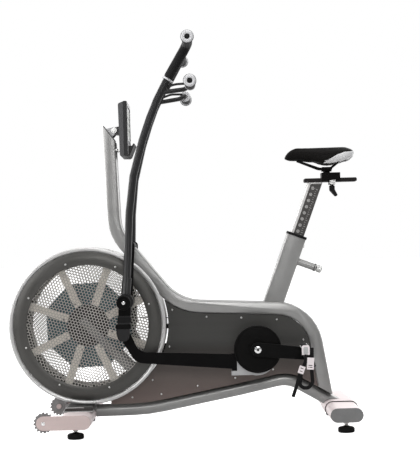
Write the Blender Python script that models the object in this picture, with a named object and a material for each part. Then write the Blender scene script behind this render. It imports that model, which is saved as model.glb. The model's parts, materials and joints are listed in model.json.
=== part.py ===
"""Air bike: fan drum, belt drive, swing handles, seat and console, in metres.

+X points to the rear, +Y to the rider's right and +Z up. The origin is on the floor,
under the middle of the machine. Left is the -Y side.
"""

import math

import bmesh
import bpy
from mathutils import Matrix, Vector
from mathutils.geometry import intersect_line_line

# ---------------------------------------------------------------- driving dimensions
GAP = 0.0004                        # between pieces that touch

FAN_X, FAN_Z = -0.335, 0.377        # fan axis
DRUM_R = 0.2776                     # rolled rim of the fan drum
DRUM_HALF = 0.086
WINDOW_R = 0.2155
GUARD_R = 0.2620
COVER_FRONT_R = 0.2840              # side covers end in this arc behind the fan drum,
COVER_UNDER_R = 0.2802              # and in this one below it

CRANK_X, CRANK_Z = 0.262, 0.285     # crank axis
CRANK_TILT = math.radians(-6.0)     # left crank points to the rear and slightly down
CRANK_LENGTH = 0.168
CRANK_DISC_R = 0.083
ECCENTRIC = 0.026                   # throw of the eccentric that swings the handles
AXLE_R = 0.012

PIVOT_X, PIVOT_Z = -0.193, 0.463    # handle pivot
LEVER = 0.115                       # pivot to rod pin
HANDLE_TURN = {-1: 0.0, 1: math.radians(-1.8)}   # of the left and right handle at rest

SPINE_DEEP, SPINE_WIDE, SPINE_WALL = 0.045, 0.076, 0.0025
LOW_TUBE_R = 0.0225
COVER_Y = 0.0300                    # inner face of each side cover
COVER_T = 0.0016

STAB_HALF = 0.245                   # half length of both stabilizers
STAB_HIGH = 0.049
FRONT_STAB_X, FRONT_STAB_Z, FRONT_STAB_DEEP = -0.372, 0.0585, 0.112
REAR_STAB_X, REAR_STAB_Z, REAR_STAB_DEEP = 0.5565, 0.0610, 0.113
FOOT_Y = 0.218

SEAT_LEAN = math.radians(20.6)      # seat tube leans back from the vertical
SEAT_TOP_X, SEAT_TOP_Z = 0.4155, 0.6745
POST_DEEP, POST_WIDE = 0.050, 0.026
RAIL_X0, RAIL_X1 = 0.448, 0.637
RAIL_Z0, RAIL_Z1 = 0.868, 0.882
MIDDLE_X = (RAIL_X1 + FAN_X - DRUM_R) / 2   # comes to X = 0 once everything is in place

CONSOLE_PIVOT_X, CONSOLE_PIVOT_Z = -0.228, 1.070

ROD_Y = 0.131                       # middle of the connecting rods
SIDES = (("left", -1), ("right", 1))

COLOURS = {
    "frame_grey": ((0.30, 0.31, 0.31), 0.35, 0.6),
    "drum_silver": ((0.55, 0.55, 0.55), 0.30, 0.8),
    "cover_dark": ((0.055, 0.053, 0.052), 0.40, 0.6),
    "black_metal": ((0.012, 0.012, 0.013), 0.38, 0.3),
    "black_plastic": ((0.015, 0.015, 0.016), 0.50, 0.0),
    "rubber": ((0.012, 0.012, 0.012), 0.85, 0.0),
    "steel": ((0.60, 0.60, 0.60), 0.25, 1.0),
    "cast_grey": ((0.45, 0.45, 0.45), 0.45, 0.5),
    "blade_silver": ((0.62, 0.60, 0.57), 0.35, 0.8),
    "shell_grey": ((0.36, 0.36, 0.36), 0.45, 0.0),
    "saddle_black": ((0.010, 0.010, 0.011), 0.60, 0.0),
}


# ---------------------------------------------------------------- helpers
def clear_scene():
    for obj in list(bpy.data.objects):
        bpy.data.objects.remove(obj, do_unlink=True)


def material(name):
    found = bpy.data.materials.get(name)
    if found:
        return found
    colour, rough, metal = COLOURS[name]
    made = bpy.data.materials.new(name)
    made.use_nodes = True
    shader = made.node_tree.nodes["Principled BSDF"]
    shader.inputs["Base Color"].default_value = (*colour, 1.0)
    shader.inputs["Roughness"].default_value = rough
    shader.inputs["Metallic"].default_value = metal
    return made


def finish(name, bm, finish_name, origin=(0, 0, 0)):
    """An object from bm, whose vertices are world points, with its origin at origin."""
    bmesh.ops.recalc_face_normals(bm, faces=bm.faces[:])
    if bm.calc_volume(signed=True) < 0:
        bmesh.ops.reverse_faces(bm, faces=bm.faces[:])
    bmesh.ops.translate(bm, vec=-Vector(origin), verts=bm.verts[:])
    mesh = bpy.data.meshes.new(name)
    bm.to_mesh(mesh)
    bm.free()
    mesh.shade_smooth()
    mesh.set_sharp_from_angle(angle=math.radians(35))
    obj = bpy.data.objects.new(name, mesh)
    obj.location = origin
    obj.data.materials.append(material(finish_name))
    bpy.context.scene.collection.objects.link(obj)
    return obj


def combine(obj, other, operation):
    """Applies a Boolean of obj with other, and removes other."""
    modifier = obj.modifiers.new("combine", "BOOLEAN")
    modifier.operation = operation
    modifier.solver = "EXACT"
    modifier.object = other
    bpy.context.view_layer.update()
    graph = bpy.context.evaluated_depsgraph_get()
    result = bpy.data.meshes.new_from_object(obj.evaluated_get(graph))
    obj.modifiers.clear()
    obj.data = result
    bpy.data.objects.remove(other, do_unlink=True)
    return obj


def cut(obj, other):
    return combine(obj, other, "DIFFERENCE")


def join(obj, other):
    return combine(obj, other, "UNION")


def rounded(points, radii, step=math.radians(9)):
    """The polyline through points with its inner corners rounded to radii."""
    points = [Vector(p) for p in points]
    path = [points[0]]
    for before, corner, after, radius in zip(points, points[1:], points[2:], radii):
        towards = (before - corner).normalized()
        onward = (after - corner).normalized()
        turn = math.pi - towards.angle(onward)
        if radius <= 0 or turn < 1e-4:
            path.append(corner)
            continue
        reach = radius * math.tan(turn / 2)
        centre = corner + (towards + onward).normalized() * (radius / math.cos(turn / 2))
        start = corner + towards * reach - centre
        axis = start.cross(corner + onward * reach - centre).normalized()
        count = max(2, math.ceil(turn / step))
        for i in range(count + 1):
            path.append(centre + Matrix.Rotation(turn * i / count, 3, axis) @ start)
    path.append(points[-1])
    return path


def outline(points, radii, step=math.radians(15)):
    """A closed XZ outline with rounded corners; radii has one value for each point."""
    ring = [(x, 0, z) for x, z in points]
    closed = [ring[-1], *ring, ring[0]]
    path = rounded(closed, radii, step)[1:-1]
    return [(p.x, p.z) for p in path]


def stadium(cx, cz, wide, high, per_end=8):
    """A closed XZ outline of a flat bar with half-round ends."""
    r = high / 2
    reach = wide / 2 - r
    ring = []
    for side, start in ((1, -math.pi / 2), (-1, math.pi / 2)):
        for i in range(per_end + 1):
            a = start + math.pi * i / per_end
            ring.append((cx + side * reach + r * math.cos(a), cz + r * math.sin(a)))
    return ring


def circle(cx, cz, r, count=32, turn=0.0):
    angles = (turn + 2 * math.pi * i / count for i in range(count))
    return [(cx + r * math.cos(a), cz + r * math.sin(a)) for a in angles]


def prism(name, ring, y0, y1, finish_name, origin=(0, 0, 0)):
    """An XZ outline extruded along Y."""
    bm = bmesh.new()
    near = [bm.verts.new((x, y0, z)) for x, z in ring]
    far = [bm.verts.new((x, y1, z)) for x, z in ring]
    bm.faces.new(near)
    bm.faces.new(list(reversed(far)))
    for i in range(len(ring)):
        j = (i + 1) % len(ring)
        bm.faces.new((near[j], near[i], far[i], far[j]))
    return finish(name, bm, finish_name, origin)


def box(name, low, high, finish_name, origin=(0, 0, 0)):
    ring = [(low[0], low[2]), (high[0], low[2]), (high[0], high[2]), (low[0], high[2])]
    return prism(name, ring, low[1], high[1], finish_name, origin)


def turned(name, profile, centre, finish_name, count=32, axis=(0, 1, 0), hollow=False, origin=None):
    """(radius, along) points turned about an axis through centre; hollow profiles close on themselves."""
    centre = Vector(centre)
    swing = Vector((0, 1, 0)).rotation_difference(Vector(axis).normalized()).to_matrix()
    bm = bmesh.new()
    rings = []
    for radius, along in profile:
        if radius <= 1e-9:
            rings.append([bm.verts.new(centre + swing @ Vector((0, along, 0)))])
            continue
        ring = []
        for x, z in circle(0, 0, radius, count):
            ring.append(bm.verts.new(centre + swing @ Vector((x, along, z))))
        rings.append(ring)
    pairs = list(zip(rings, rings[1:]))
    if hollow:
        pairs.append((rings[-1], rings[0]))
    for a, b in pairs:
        for i in range(count):
            j = (i + 1) % count
            if len(a) == 1:
                bm.faces.new((a[0], b[i], b[j]))
            elif len(b) == 1:
                bm.faces.new((a[i], a[j], b[0]))
            else:
                bm.faces.new((a[i], a[j], b[j], b[i]))
    if not hollow:
        for ring in (rings[0], rings[-1]):
            if len(ring) > 1:
                bm.faces.new(ring)
    return finish(name, bm, finish_name, centre if origin is None else origin)


def rod_between(name, start, end, radius, finish_name, count=12):
    """A plain round bar from start to end."""
    start = Vector(start)
    along = Vector(end) - start
    return turned(name, [(radius, 0), (radius, along.length)], start, finish_name, count, along)


def section_box(deep, wide, corner, per_corner=3):
    """A rounded rectangle: deep across the path, wide along Y."""
    ring = []
    for sx, sy, start in ((1, 1, 0), (-1, 1, 90), (-1, -1, 180), (1, -1, 270)):
        for i in range(per_corner):
            a = math.radians(start + 90 * i / (per_corner - 1))
            x = sx * (deep / 2 - corner) + corner * math.cos(a)
            ring.append((x, sy * (wide / 2 - corner) + corner * math.sin(a)))
    return ring


def section_round(r, count=16):
    return circle(0, 0, r, count)


def swept(name, path, section, finish_name, inner=None, side=(0, 1, 0), origin=(0, 0, 0)):
    """section swept along path; with inner it is a tube open at both ends."""
    path = [Vector(p) for p in path]
    side = Vector(side)
    bm = bmesh.new()
    outer_rings, inner_rings = [], []
    for i, point in enumerate(path):
        before = path[max(i - 1, 0)]
        after = path[min(i + 1, len(path) - 1)]
        into = (point - before).normalized() if i else (after - point).normalized()
        out = (after - point).normalized() if i < len(path) - 1 else into
        tangent = (into + out).normalized()
        side = (side - tangent * side.dot(tangent)).normalized()
        across = side.cross(tangent)
        widen = 1 / max(0.5, tangent.dot(into))
        for rings, shape in ((outer_rings, section), (inner_rings, inner)):
            if shape:
                rings.append([bm.verts.new(point + across * u * widen + side * v) for u, v in shape])
    for rings in (outer_rings, inner_rings):
        for a, b in zip(rings, rings[1:]):
            for i in range(len(a)):
                j = (i + 1) % len(a)
                bm.faces.new((a[i], a[j], b[j], b[i]))
    for end in (0, -1):
        if not inner:
            bm.faces.new(outer_rings[end])
            continue
        a, b = outer_rings[end], inner_rings[end]
        for i in range(len(a)):
            j = (i + 1) % len(a)
            bm.faces.new((a[i], a[j], b[j], b[i]))
    return finish(name, bm, finish_name, origin)


def turned_about(x, z, angle, px, pz):
    """The XZ point turned by angle about +Y through (x, z)."""
    c, s = math.cos(angle), math.sin(angle)
    dx, dz = px - x, pz - z
    return x + c * dx + s * dz, z - s * dx + c * dz


# ---------------------------------------------------------------- frame
MAST_TOP = (-0.2475, 1.080)
MAST_FOOT = (-0.2339, 0.7027)
SPINE_DIP = (-0.0170, 0.4375)
SPINE_REAR = (0.4570, 0.4149)
SPINE_END = (0.5080, 0.1050)
MAST_SPLIT_Z = 0.780

LOW_PATH = (
    (-0.316, 0.0675), (-0.130, 0.0700), (0.200, 0.1320), (0.375, 0.1690), (0.585, 0.0480),
)
LOW_RADII = (0.60, 0.9, 0.11)


def spine_point(at):
    return (at[0], 0, at[1])


def mast_at(z):
    share = (z - MAST_FOOT[1]) / (MAST_TOP[1] - MAST_FOOT[1])
    return (MAST_FOOT[0] + share * (MAST_TOP[0] - MAST_FOOT[0]), z)


def frame_section():
    outer = section_box(SPINE_DEEP, SPINE_WIDE, 0.007)
    inner = section_box(SPINE_DEEP - 2 * SPINE_WALL, SPINE_WIDE - 2 * SPINE_WALL, 0.0045)
    return outer, inner


def wedge_cutter(point, normal, reach=0.3):
    """A large block on the side of a plane that normal points to, square to XZ."""
    normal = Vector((normal[0], 0, normal[1])).normalized()
    along = Vector((-normal.z, 0, normal.x))
    at = Vector((point[0], 0, point[1]))
    ring = [at - along * reach, at + along * reach]
    ring += [at + along * reach + normal * reach, at - along * reach + normal * reach]
    return prism("cutter", [(p.x, p.z) for p in ring], -0.2, 0.2, "steel")


def make_mast_and_spine():
    outer, inner = frame_section()
    top = spine_point((MAST_TOP[0] - 0.0014, MAST_TOP[1] + 0.04))
    mast = swept("console_mast", [top, spine_point(mast_at(MAST_SPLIT_Z + GAP))], outer,
                 "frame_grey", inner)
    cut(mast, wedge_cutter((-0.2475, 1.060), (0.80, 0.60)))
    corners = [mast_at(MAST_SPLIT_Z), MAST_FOOT, SPINE_DIP, SPINE_REAR, SPINE_END]
    path = rounded([spine_point(p) for p in corners], (0.16, 0.18, 0.145), math.radians(11))
    spine = swept("frame_spine", path, outer, "frame_grey", inner)
    low = low_tube_path()
    near = min(low, key=lambda p: abs(p.x - 0.50))
    cut(spine, wedge_cutter((near.x + 0.0125, near.z + 0.0205 + GAP), (-0.50, -0.866)))


def low_tube_path():
    return rounded([(x, 0, z) for x, z in LOW_PATH], LOW_RADII)


def make_lower_tube():
    tube = swept("lower_tube", low_tube_path(), section_round(LOW_TUBE_R, 16), "frame_grey",
                 section_round(LOW_TUBE_R - 0.003, 16))
    ring = stadium(REAR_STAB_X, REAR_STAB_Z, REAR_STAB_DEEP + 0.010, STAB_HIGH + 0.010, 10)
    cut(tube, prism("cutter", ring, -0.1, 0.1, "steel"))
    # what is left beyond the saddle bracket is trimmed away
    cut(tube, wedge_cutter((REAR_STAB_X - 0.010, REAR_STAB_Z), (0.30, -0.954)))


def seat_axis(along, across=0.0):
    """XZ point along the seat tube axis, from its upper end, and across it to the rear."""
    s, c = math.sin(SEAT_LEAN), math.cos(SEAT_LEAN)
    return (SEAT_TOP_X + along * s + across * c, SEAT_TOP_Z + along * c - across * s)


SEAT_DIR = (math.sin(SEAT_LEAN), math.cos(SEAT_LEAN))
PIN_DIR = (math.cos(SEAT_LEAN), -math.sin(SEAT_LEAN))
PIN_ALONG = -0.0826


def spine_top_z(x):
    """Height of the spine's upper face along its nearly level stretch."""
    (x0, z0), (x1, z1) = SPINE_DIP, SPINE_REAR
    return z0 + (x - x0) * (z1 - z0) / (x1 - x0) + SPINE_DEEP / 2 * 1.002


def make_seat_tube():
    outer = section_box(0.071, 0.044, 0.007)
    inner = section_box(0.066, 0.039, 0.005)
    path = [spine_point(seat_axis(0)), spine_point(seat_axis(-0.30))]
    tube = swept("seat_tube", path, outer, "frame_grey", inner)
    slope = (SPINE_REAR[1] - SPINE_DIP[1]) / (SPINE_REAR[0] - SPINE_DIP[0])
    at = (0.33, spine_top_z(0.33) + GAP)
    cut(tube, wedge_cutter(at, (slope, -1.0)))
    start = Vector(spine_point(seat_axis(PIN_ALONG, 0.034)))
    axis = (PIN_DIR[0], 0, PIN_DIR[1])
    join(tube, turned("barrel", [(0.0125, 0), (0.0125, 0.064), (0.0140, 0.0645), (0.0140, 0.070)],
                      start, "frame_grey", 18, axis))
    start = Vector(spine_point(seat_axis(PIN_ALONG, 0.030)))
    cut(tube, turned("cutter", [(0.0060, 0), (0.0060, 0.2)], start, "steel", 18, axis))


def make_seat_sleeve():
    """Plastic bush between the seat tube and the post, with a rim on top of the tube."""
    rim = swept("seat_sleeve", [spine_point(seat_axis(0.009)), spine_point(seat_axis(GAP))],
                section_box(0.075, 0.048, 0.008), "black_plastic")
    join(rim, swept("plug", [spine_point(seat_axis(0.004)), spine_point(seat_axis(-0.045))],
                    section_box(0.0652, 0.0382, 0.005), "black_plastic"))
    cut(rim, swept("cutter", [spine_point(seat_axis(0.05)), spine_point(seat_axis(-0.1))],
                   section_box(POST_DEEP + 0.0012, POST_WIDE + 0.0012, 0.0046), "steel"))


def make_stabilizer(name, x, z, deep, feet_x):
    bar = prism(name, stadium(x, z, deep, STAB_HIGH, 7), -STAB_HALF, STAB_HALF, "frame_grey")
    cut(bar, prism("cutter", stadium(x, z, deep - 0.006, STAB_HIGH - 0.006, 7), -1, 1, "steel"))
    for y in (-FOOT_Y, FOOT_Y):
        cut(bar, turned("cutter", [(0.0068, -0.02), (0.0068, 0.02)],
                        (feet_x, y, z - STAB_HIGH / 2), "steel", 16, (0, 0, 1)))


def make_foot(name, x, y, top):
    """Levelling foot: rubber pad under a threaded stud, origin on the floor."""
    profile = [(0.0, 0.0), (0.0265, 0.0), (0.0285, 0.004), (0.0285, 0.014), (0.0250, 0.0185),
               (0.0110, 0.0210), (0.0060, 0.0242), (0.0060, top), (0.0, top)]
    turned(name, profile, (x, y, 0), "rubber", 16, (0, 0, 1))


FRONT_FOOT_X, REAR_FOOT_X = -0.3715, 0.5560


def make_stabilizers():
    make_stabilizer("front_stabilizer", FRONT_STAB_X, FRONT_STAB_Z, FRONT_STAB_DEEP, FRONT_FOOT_X)
    make_stabilizer("rear_stabilizer", REAR_STAB_X, REAR_STAB_Z, REAR_STAB_DEEP, REAR_FOOT_X)
    for side, sign in SIDES:
        make_foot(f"foot_front_{side}", FRONT_FOOT_X, sign * FOOT_Y, 0.072)
        make_foot(f"foot_rear_{side}", REAR_FOOT_X, sign * FOOT_Y, 0.076)
        make_end_plate(side, sign)
        cap = stadium(REAR_STAB_X, REAR_STAB_Z, REAR_STAB_DEEP, STAB_HIGH, 8)
        inner, outer = sorted((sign * (STAB_HALF + GAP), sign * (STAB_HALF + 0.006)))
        prism(f"rear_end_cap_{side}", cap, inner, outer, "frame_grey")


WHEEL_X, WHEEL_Z = -0.4780, 0.0585
WHEEL_R = 0.0345


def make_end_plate(side, sign):
    """Plate that closes the front stabilizer and reaches forward to the transport wheel's bolt."""
    middle = (FRONT_STAB_X + FRONT_STAB_DEEP / 2 + WHEEL_X - STAB_HIGH / 2) / 2
    wide = FRONT_STAB_X + FRONT_STAB_DEEP / 2 - WHEEL_X + STAB_HIGH / 2
    inner, outer = sorted((sign * (STAB_HALF + GAP), sign * (STAB_HALF + 0.006)))
    plate = prism(f"front_end_plate_{side}", stadium(middle, WHEEL_Z, wide, STAB_HIGH, 8),
                  inner, outer, "cast_grey")
    bolt = [(0.0060, 0.0), (0.0060, 0.0355), (0.0095, 0.0360), (0.0095, 0.0410)]
    join(plate, turned("bolt", bolt, (WHEEL_X, sign * (STAB_HALF + 0.002), WHEEL_Z), "steel", 16,
                       (0, -sign, 0)))


def make_wheel(side, sign):
    """Transport wheel with a ribbed tread."""
    lugs = 16
    ring = []
    for i in range(lugs):
        for share, radius in ((0.04, WHEEL_R), (0.46, WHEEL_R), (0.56, 0.0295), (0.94, 0.0295)):
            a = 2 * math.pi * (i + share) / lugs
            ring.append((WHEEL_X + radius * math.cos(a), WHEEL_Z + radius * math.sin(a)))
    y = sorted((sign * 0.2125, sign * 0.2415))
    wheel = prism(f"transport_wheel_{side}", ring, *y, "rubber", (WHEEL_X, sign * 0.227, WHEEL_Z))
    cut(wheel, prism("cutter", circle(WHEEL_X, WHEEL_Z, 0.0064, 20), -0.3, 0.3, "steel"))


def make_brackets():
    """Welded brackets that tie the lower tube to the stabilizers."""
    low, high = FRONT_STAB_Z + STAB_HIGH / 2 + GAP, FAN_Z - DRUM_R - 0.0015
    ring = [(-0.420, low), (-0.3160 - 2 * GAP, low), (-0.3160 - 2 * GAP, high - 0.001),
            (-0.345, high), (-0.410, high)]
    prism("front_base_bracket", ring, -0.150, 0.150, "frame_grey")
    outer = stadium(REAR_STAB_X, REAR_STAB_Z, REAR_STAB_DEEP + 0.0075, STAB_HIGH + 0.0075, 7)
    inner = stadium(REAR_STAB_X, REAR_STAB_Z, REAR_STAB_DEEP + 2 * GAP, STAB_HIGH + 2 * GAP, 7)
    saddle = prism("rear_saddle_bracket", outer, -0.075, 0.075, "black_metal")
    cut(saddle, prism("cutter", inner, -1, 1, "steel"))
    cut(saddle, box("cutter", (REAR_STAB_X - 0.2, -1, 0), (REAR_STAB_X + 0.2, 1, 0.046), "steel"))


# ---------------------------------------------------------------- fan drum
def make_drum():
    """Rolled hoop with a bead along both rims, open at the rear for the belt."""
    bead = 0.0085
    wall, inner = 0.2600, 0.2578
    half = DRUM_HALF
    profile = []
    for sign in (-1, 1):
        rim = [(wall, half - 0.018), (DRUM_R, half - bead), (DRUM_R - 0.0022, half - 0.0022),
               (DRUM_R - 0.0080, half), (GUARD_R + 0.0012, half - 0.0060),
               (GUARD_R + 0.0012, half - 0.010), (inner, half - 0.0135)]
        rim = [(r, sign * y) for r, y in rim]
        profile += list(reversed(rim)) if sign < 0 else rim
    hoop = turned("fan_hoop", profile, (FAN_X, 0, FAN_Z), "drum_silver", 48, hollow=True)
    cut(hoop, box("cutter", (FAN_X + 0.15, 0.006, FAN_Z - 0.16), (FAN_X + 0.40, 0.026, FAN_Z + 0.06),
                  "steel"))


def make_guard(side, sign):
    """Guard: a flat outer ring around a thin round grille."""
    front = DRUM_HALF - 0.0020
    profile = [(0.0, front - 0.0030), (GUARD_R, front - 0.0030), (GUARD_R, front), (WINDOW_R, front),
               (WINDOW_R, front - 0.0015), (0.0, front - 0.0015)]
    profile = [(r, sign * y) for r, y in profile]
    turned(f"fan_guard_{side}", profile, (FAN_X, 0, FAN_Z), "cover_dark", 48)


BELT_Y0, BELT_Y1 = 0.0085, 0.0235
PULLEY_R, CRANK_PULLEY_R = 0.0240, 0.0960


def make_fan():
    centre = (FAN_X, 0, FAN_Z)
    hub = [(0.0250, -0.066), (0.060, -0.060), (0.074, -0.050), (0.074, -0.0285), (0.030, -0.0285),
           (0.030, 0.0060), (0.0235 + 0.004, 0.0066), (PULLEY_R - 0.0015, 0.0072),
           (PULLEY_R - 0.0015, 0.0248), (0.0275, 0.0256), (0.0275, 0.0280), (0.0105, 0.0280),
           (0.0105, -0.066)]
    turned("fan_hub", hub, centre, "cast_grey", 28, hollow=True)
    octagon = circle(FAN_X, FAN_Z, 0.150 / math.cos(math.pi / 8), 8, math.radians(25))
    wheel = prism("fan_wheel", octagon, -0.0280, -0.0258, "blade_silver", centre)
    cut(wheel, prism("cutter", circle(FAN_X, FAN_Z, 0.0306, 28), -1, 1, "steel"))
    for i in range(8):
        a = math.radians(25 + 45 * i)
        along = Vector((math.cos(a), 0, math.sin(a)))
        across = Vector((-along.z, 0, along.x))
        start = Vector((FAN_X, 0, FAN_Z)) + along * 0.0755
        for half, inset, y0, y1 in ((0.0135, 0.0, -0.0660, -0.0640), (0.0012, 0.002, -0.0650, -0.0265)):
            corners = [start + across * w + along * d for d, w in
                       ((inset, -half), (0.178 - inset, -half), (0.178 - inset, half), (inset, half))]
            join(wheel, prism("blade", [(p.x, p.z) for p in corners], y0, y1, "blade_silver"))


def make_fan_axle():
    """Fixed fan axle, carried by a stay across each side of the drum."""
    axle = turned("fan_axle", [(0.010, -0.0765), (0.010, 0.0765)], (FAN_X, 0, FAN_Z), "steel", 24)
    for sign in (-1, 1):
        a = math.radians(-47)
        along = Vector((math.cos(a), 0, math.sin(a)))
        across = Vector((-along.z, 0, along.x))
        centre = Vector((FAN_X, 0, FAN_Z))
        ring = [centre + along * d + across * w for d, w in
                ((-0.030, -0.014), (0.2550, -0.014), (0.2550, 0.014), (-0.030, 0.014))]
        y = sorted((sign * 0.0715, sign * 0.0755))
        join(axle, prism("stay", [(p.x, p.z) for p in ring], *y, "steel"))


# ---------------------------------------------------------------- drive
def tangent_points(big, r_big, small, r_small, count_big=20, count_small=10):
    """Closed XZ outline of a belt's outer or inner line around two pulleys."""
    dx, dz = small[0] - big[0], small[1] - big[1]
    base = math.atan2(dz, dx)
    spread = math.acos((r_big - r_small) / math.hypot(dx, dz))
    ring = []
    for (cx, cz), r, start, sweep, count in (
        (big, r_big, base + spread, 2 * (math.pi - spread), count_big),
        (small, r_small, base - spread, 2 * spread, count_small),
    ):
        for i in range(count + 1):
            a = start + sweep * i / count
            ring.append((cx + r * math.cos(a), cz + r * math.sin(a)))
    return ring


def make_belt():
    big, small = (CRANK_X, CRANK_Z), (FAN_X, FAN_Z)
    gap = 0.0010
    outer = tangent_points(big, CRANK_PULLEY_R + 0.0035, small, PULLEY_R + 0.0035, 20, 10)
    inner = tangent_points(big, CRANK_PULLEY_R + gap, small, PULLEY_R + gap, 20, 10)
    belt = prism("drive_belt", outer, BELT_Y0, BELT_Y1, "rubber")
    cut(belt, prism("cutter", inner, -1, 1, "steel"))


def make_crank():
    centre = (CRANK_X, 0, CRANK_Z)
    turned("crank_axle", [(AXLE_R, -0.168), (AXLE_R, 0.168)], centre, "steel", 24)
    rim = [(0.0125, 0.0080), (0.040, 0.0080), (0.050, 0.0130), (0.080, 0.0130), (0.086, 0.0080),
           (CRANK_PULLEY_R - 0.0004, 0.0080), (CRANK_PULLEY_R - 0.0004, 0.0240), (0.0125, 0.0240)]
    turned("crank_pulley", rim, centre, "cast_grey", 28, hollow=True)
    for side, sign in SIDES:
        make_crank_disc(side, sign)
        make_crank_arm(side, sign)


def throw_centre(sign):
    """XZ centre of a side's eccentric: below the axle on the left, above it on the right."""
    lead = 0.003
    return (CRANK_X + sign * lead, CRANK_Z + sign * math.sqrt(ECCENTRIC**2 - lead**2))


def make_crank_disc(side, sign):
    """Dished cover disc with the short end of the eccentric behind it."""
    profile = [(0.0125, 0.1510), (0.0780, 0.1505), (CRANK_DISC_R, 0.1480), (CRANK_DISC_R, 0.1425),
               (0.0800, 0.1425), (0.0790, 0.1465), (0.0125, 0.1470)]
    profile = [(r, sign * y) for r, y in profile]
    disc = turned(f"crank_disc_{side}", profile, (CRANK_X, 0, CRANK_Z), "black_metal", 32, hollow=True)
    ex, ez = throw_centre(sign)
    journal = prism("journal", circle(ex, ez, 0.048, 24), *sorted((sign * 0.1405, sign * 0.1480)),
                    "black_metal")
    cut(journal, prism("cutter", circle(CRANK_X, CRANK_Z, 0.0126, 24), -1, 1, "steel"))
    join(disc, journal)


def crank_end(sign):
    reach = CRANK_LENGTH * -sign
    return (CRANK_X + reach * math.cos(CRANK_TILT), CRANK_Z + reach * math.sin(CRANK_TILT))


def make_crank_arm(side, sign):
    """Flat tapered arm with a round boss, and the pedal spindle screwed into its end."""
    end = crank_end(sign)
    along = Vector((end[0] - CRANK_X, 0, end[1] - CRANK_Z)).normalized()
    across = Vector((-along.z, 0, along.x))
    centre = Vector((CRANK_X, 0, CRANK_Z))
    ring = []
    for at, r, start in ((0.0, 0.0245, 90), (CRANK_LENGTH, 0.0215, -90)):
        for i in range(11):
            a = math.radians(start + 18 * i)
            p = centre + along * (at + r * math.cos(a)) + across * (r * math.sin(a))
            ring.append((p.x, p.z))
    y = sorted((sign * 0.1540, sign * 0.1690))
    arm = prism(f"crank_arm_{side}", ring, *y, "black_metal", centre)
    cut(arm, prism("cutter", circle(CRANK_X, CRANK_Z, 0.0126, 24), -1, 1, "steel"))
    spindle = [(0.0100, 0.0), (0.0100, 0.0240), (0.0070, 0.0245), (0.0070, 0.1170)]
    join(arm, turned("spindle", spindle, (end[0], sign * 0.160, end[1]), "steel", 16, (0, sign, 0)))


PEDAL_Y0, PEDAL_Y1 = 0.1860, 0.2860
PEDAL_LEAN = math.radians(110)      # of its long side: it hangs with the straps below


def make_pedal(side, sign):
    """Platform pedal body with a bored middle and two treads."""
    x, z = crank_end(sign)
    c, s = math.cos(PEDAL_LEAN), math.sin(PEDAL_LEAN)

    def plank(u0, u1, w0, w1):
        return [(x + u * c - w * s, z + u * s + w * c) for u, w in ((u0, w0), (u1, w0), (u1, w1), (u0, w1))]

    ring = outline(plank(-0.040, 0.040, -0.011, 0.011), (0.006,) * 4, math.radians(30))
    y = sorted((sign * PEDAL_Y0, sign * PEDAL_Y1))
    body = prism(f"pedal_{side}", ring, *y, "black_plastic", (x, sign * (PEDAL_Y0 + PEDAL_Y1) / 2, z))
    join(body, prism("barrel", circle(x, z, 0.0155, 20), *y, "black_plastic"))
    keep = sorted((sign * (PEDAL_Y0 + 0.012), sign * (PEDAL_Y1 - 0.012)))
    for u in (-0.0265, 0.0265):
        cut(body, prism("cutter", plank(u - 0.0060, u + 0.0060, -0.1, 0.1), *keep, "steel"))
    cut(body, prism("cutter", circle(x, z, 0.0074, 16), -1, 1, "steel"))


def make_bottom_bracket():
    """Bearing shell for the crank axle, on a post that stands on the lower tube."""
    profile = [(0.0245, -0.0260), (0.0245, 0.0060), (0.0128, 0.0060), (0.0128, -0.0260)]
    shell = turned("bottom_bracket", profile, (CRANK_X, 0, CRANK_Z), "frame_grey", 32, hollow=True)
    ring = [(CRANK_X - 0.020, CRANK_Z - 0.020), (CRANK_X - 0.030, 0.1680), (CRANK_X + 0.030, 0.1800),
            (CRANK_X + 0.020, CRANK_Z - 0.020)]
    join(shell, prism("post", ring, -0.0180, -0.0040, "frame_grey"))


# ---------------------------------------------------------------- side covers
def from_fan(p):
    return math.hypot(p.x - FAN_X, p.z - FAN_Z)


def offset_line(path, distance):
    """The inner points of an XZ path, moved square to it: to its right if distance is positive."""
    line = []
    for before, point, after in zip(path, path[1:], path[2:]):
        tangent = (after - before).normalized()
        line.append(point + Vector((tangent.z, 0, -tangent.x)) * distance)
    return line


def after_circle(line, radius):
    """The part of a line after it last leaves a circle round the fan axis, from the circle on."""
    last = max(i for i, (a, b) in enumerate(zip(line, line[1:])) if from_fan(a) <= radius < from_fan(b))
    inside, outside = line[last], line[last + 1]
    for _ in range(30):
        middle = inside.lerp(outside, 0.5)
        if from_fan(middle) <= radius:
            inside = middle
        else:
            outside = middle
    return [outside, *line[last + 1:]]


def cover_radius(angle):
    """Front edge of a cover: it comes closer to the drum below the connecting rod."""
    share = min(1.0, max(0.0, (-0.42 - angle) / 0.10))
    return COVER_FRONT_R + share * (COVER_UNDER_R - COVER_FRONT_R)


def beside(ends, distance):
    """The two XZ ends of a straight, moved to its right by distance."""
    a, b = (Vector((x, 0, z)) for x, z in ends)
    tangent = (b - a).normalized()
    shift = Vector((tangent.z, 0, -tangent.x)) * distance
    return a + shift, b + shift


COVER_TIP_X = -0.2620
SPINE_PLAY, TUBE_PLAY = 0.0010, 0.0012      # between a cover's edge and the tubes along it


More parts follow.
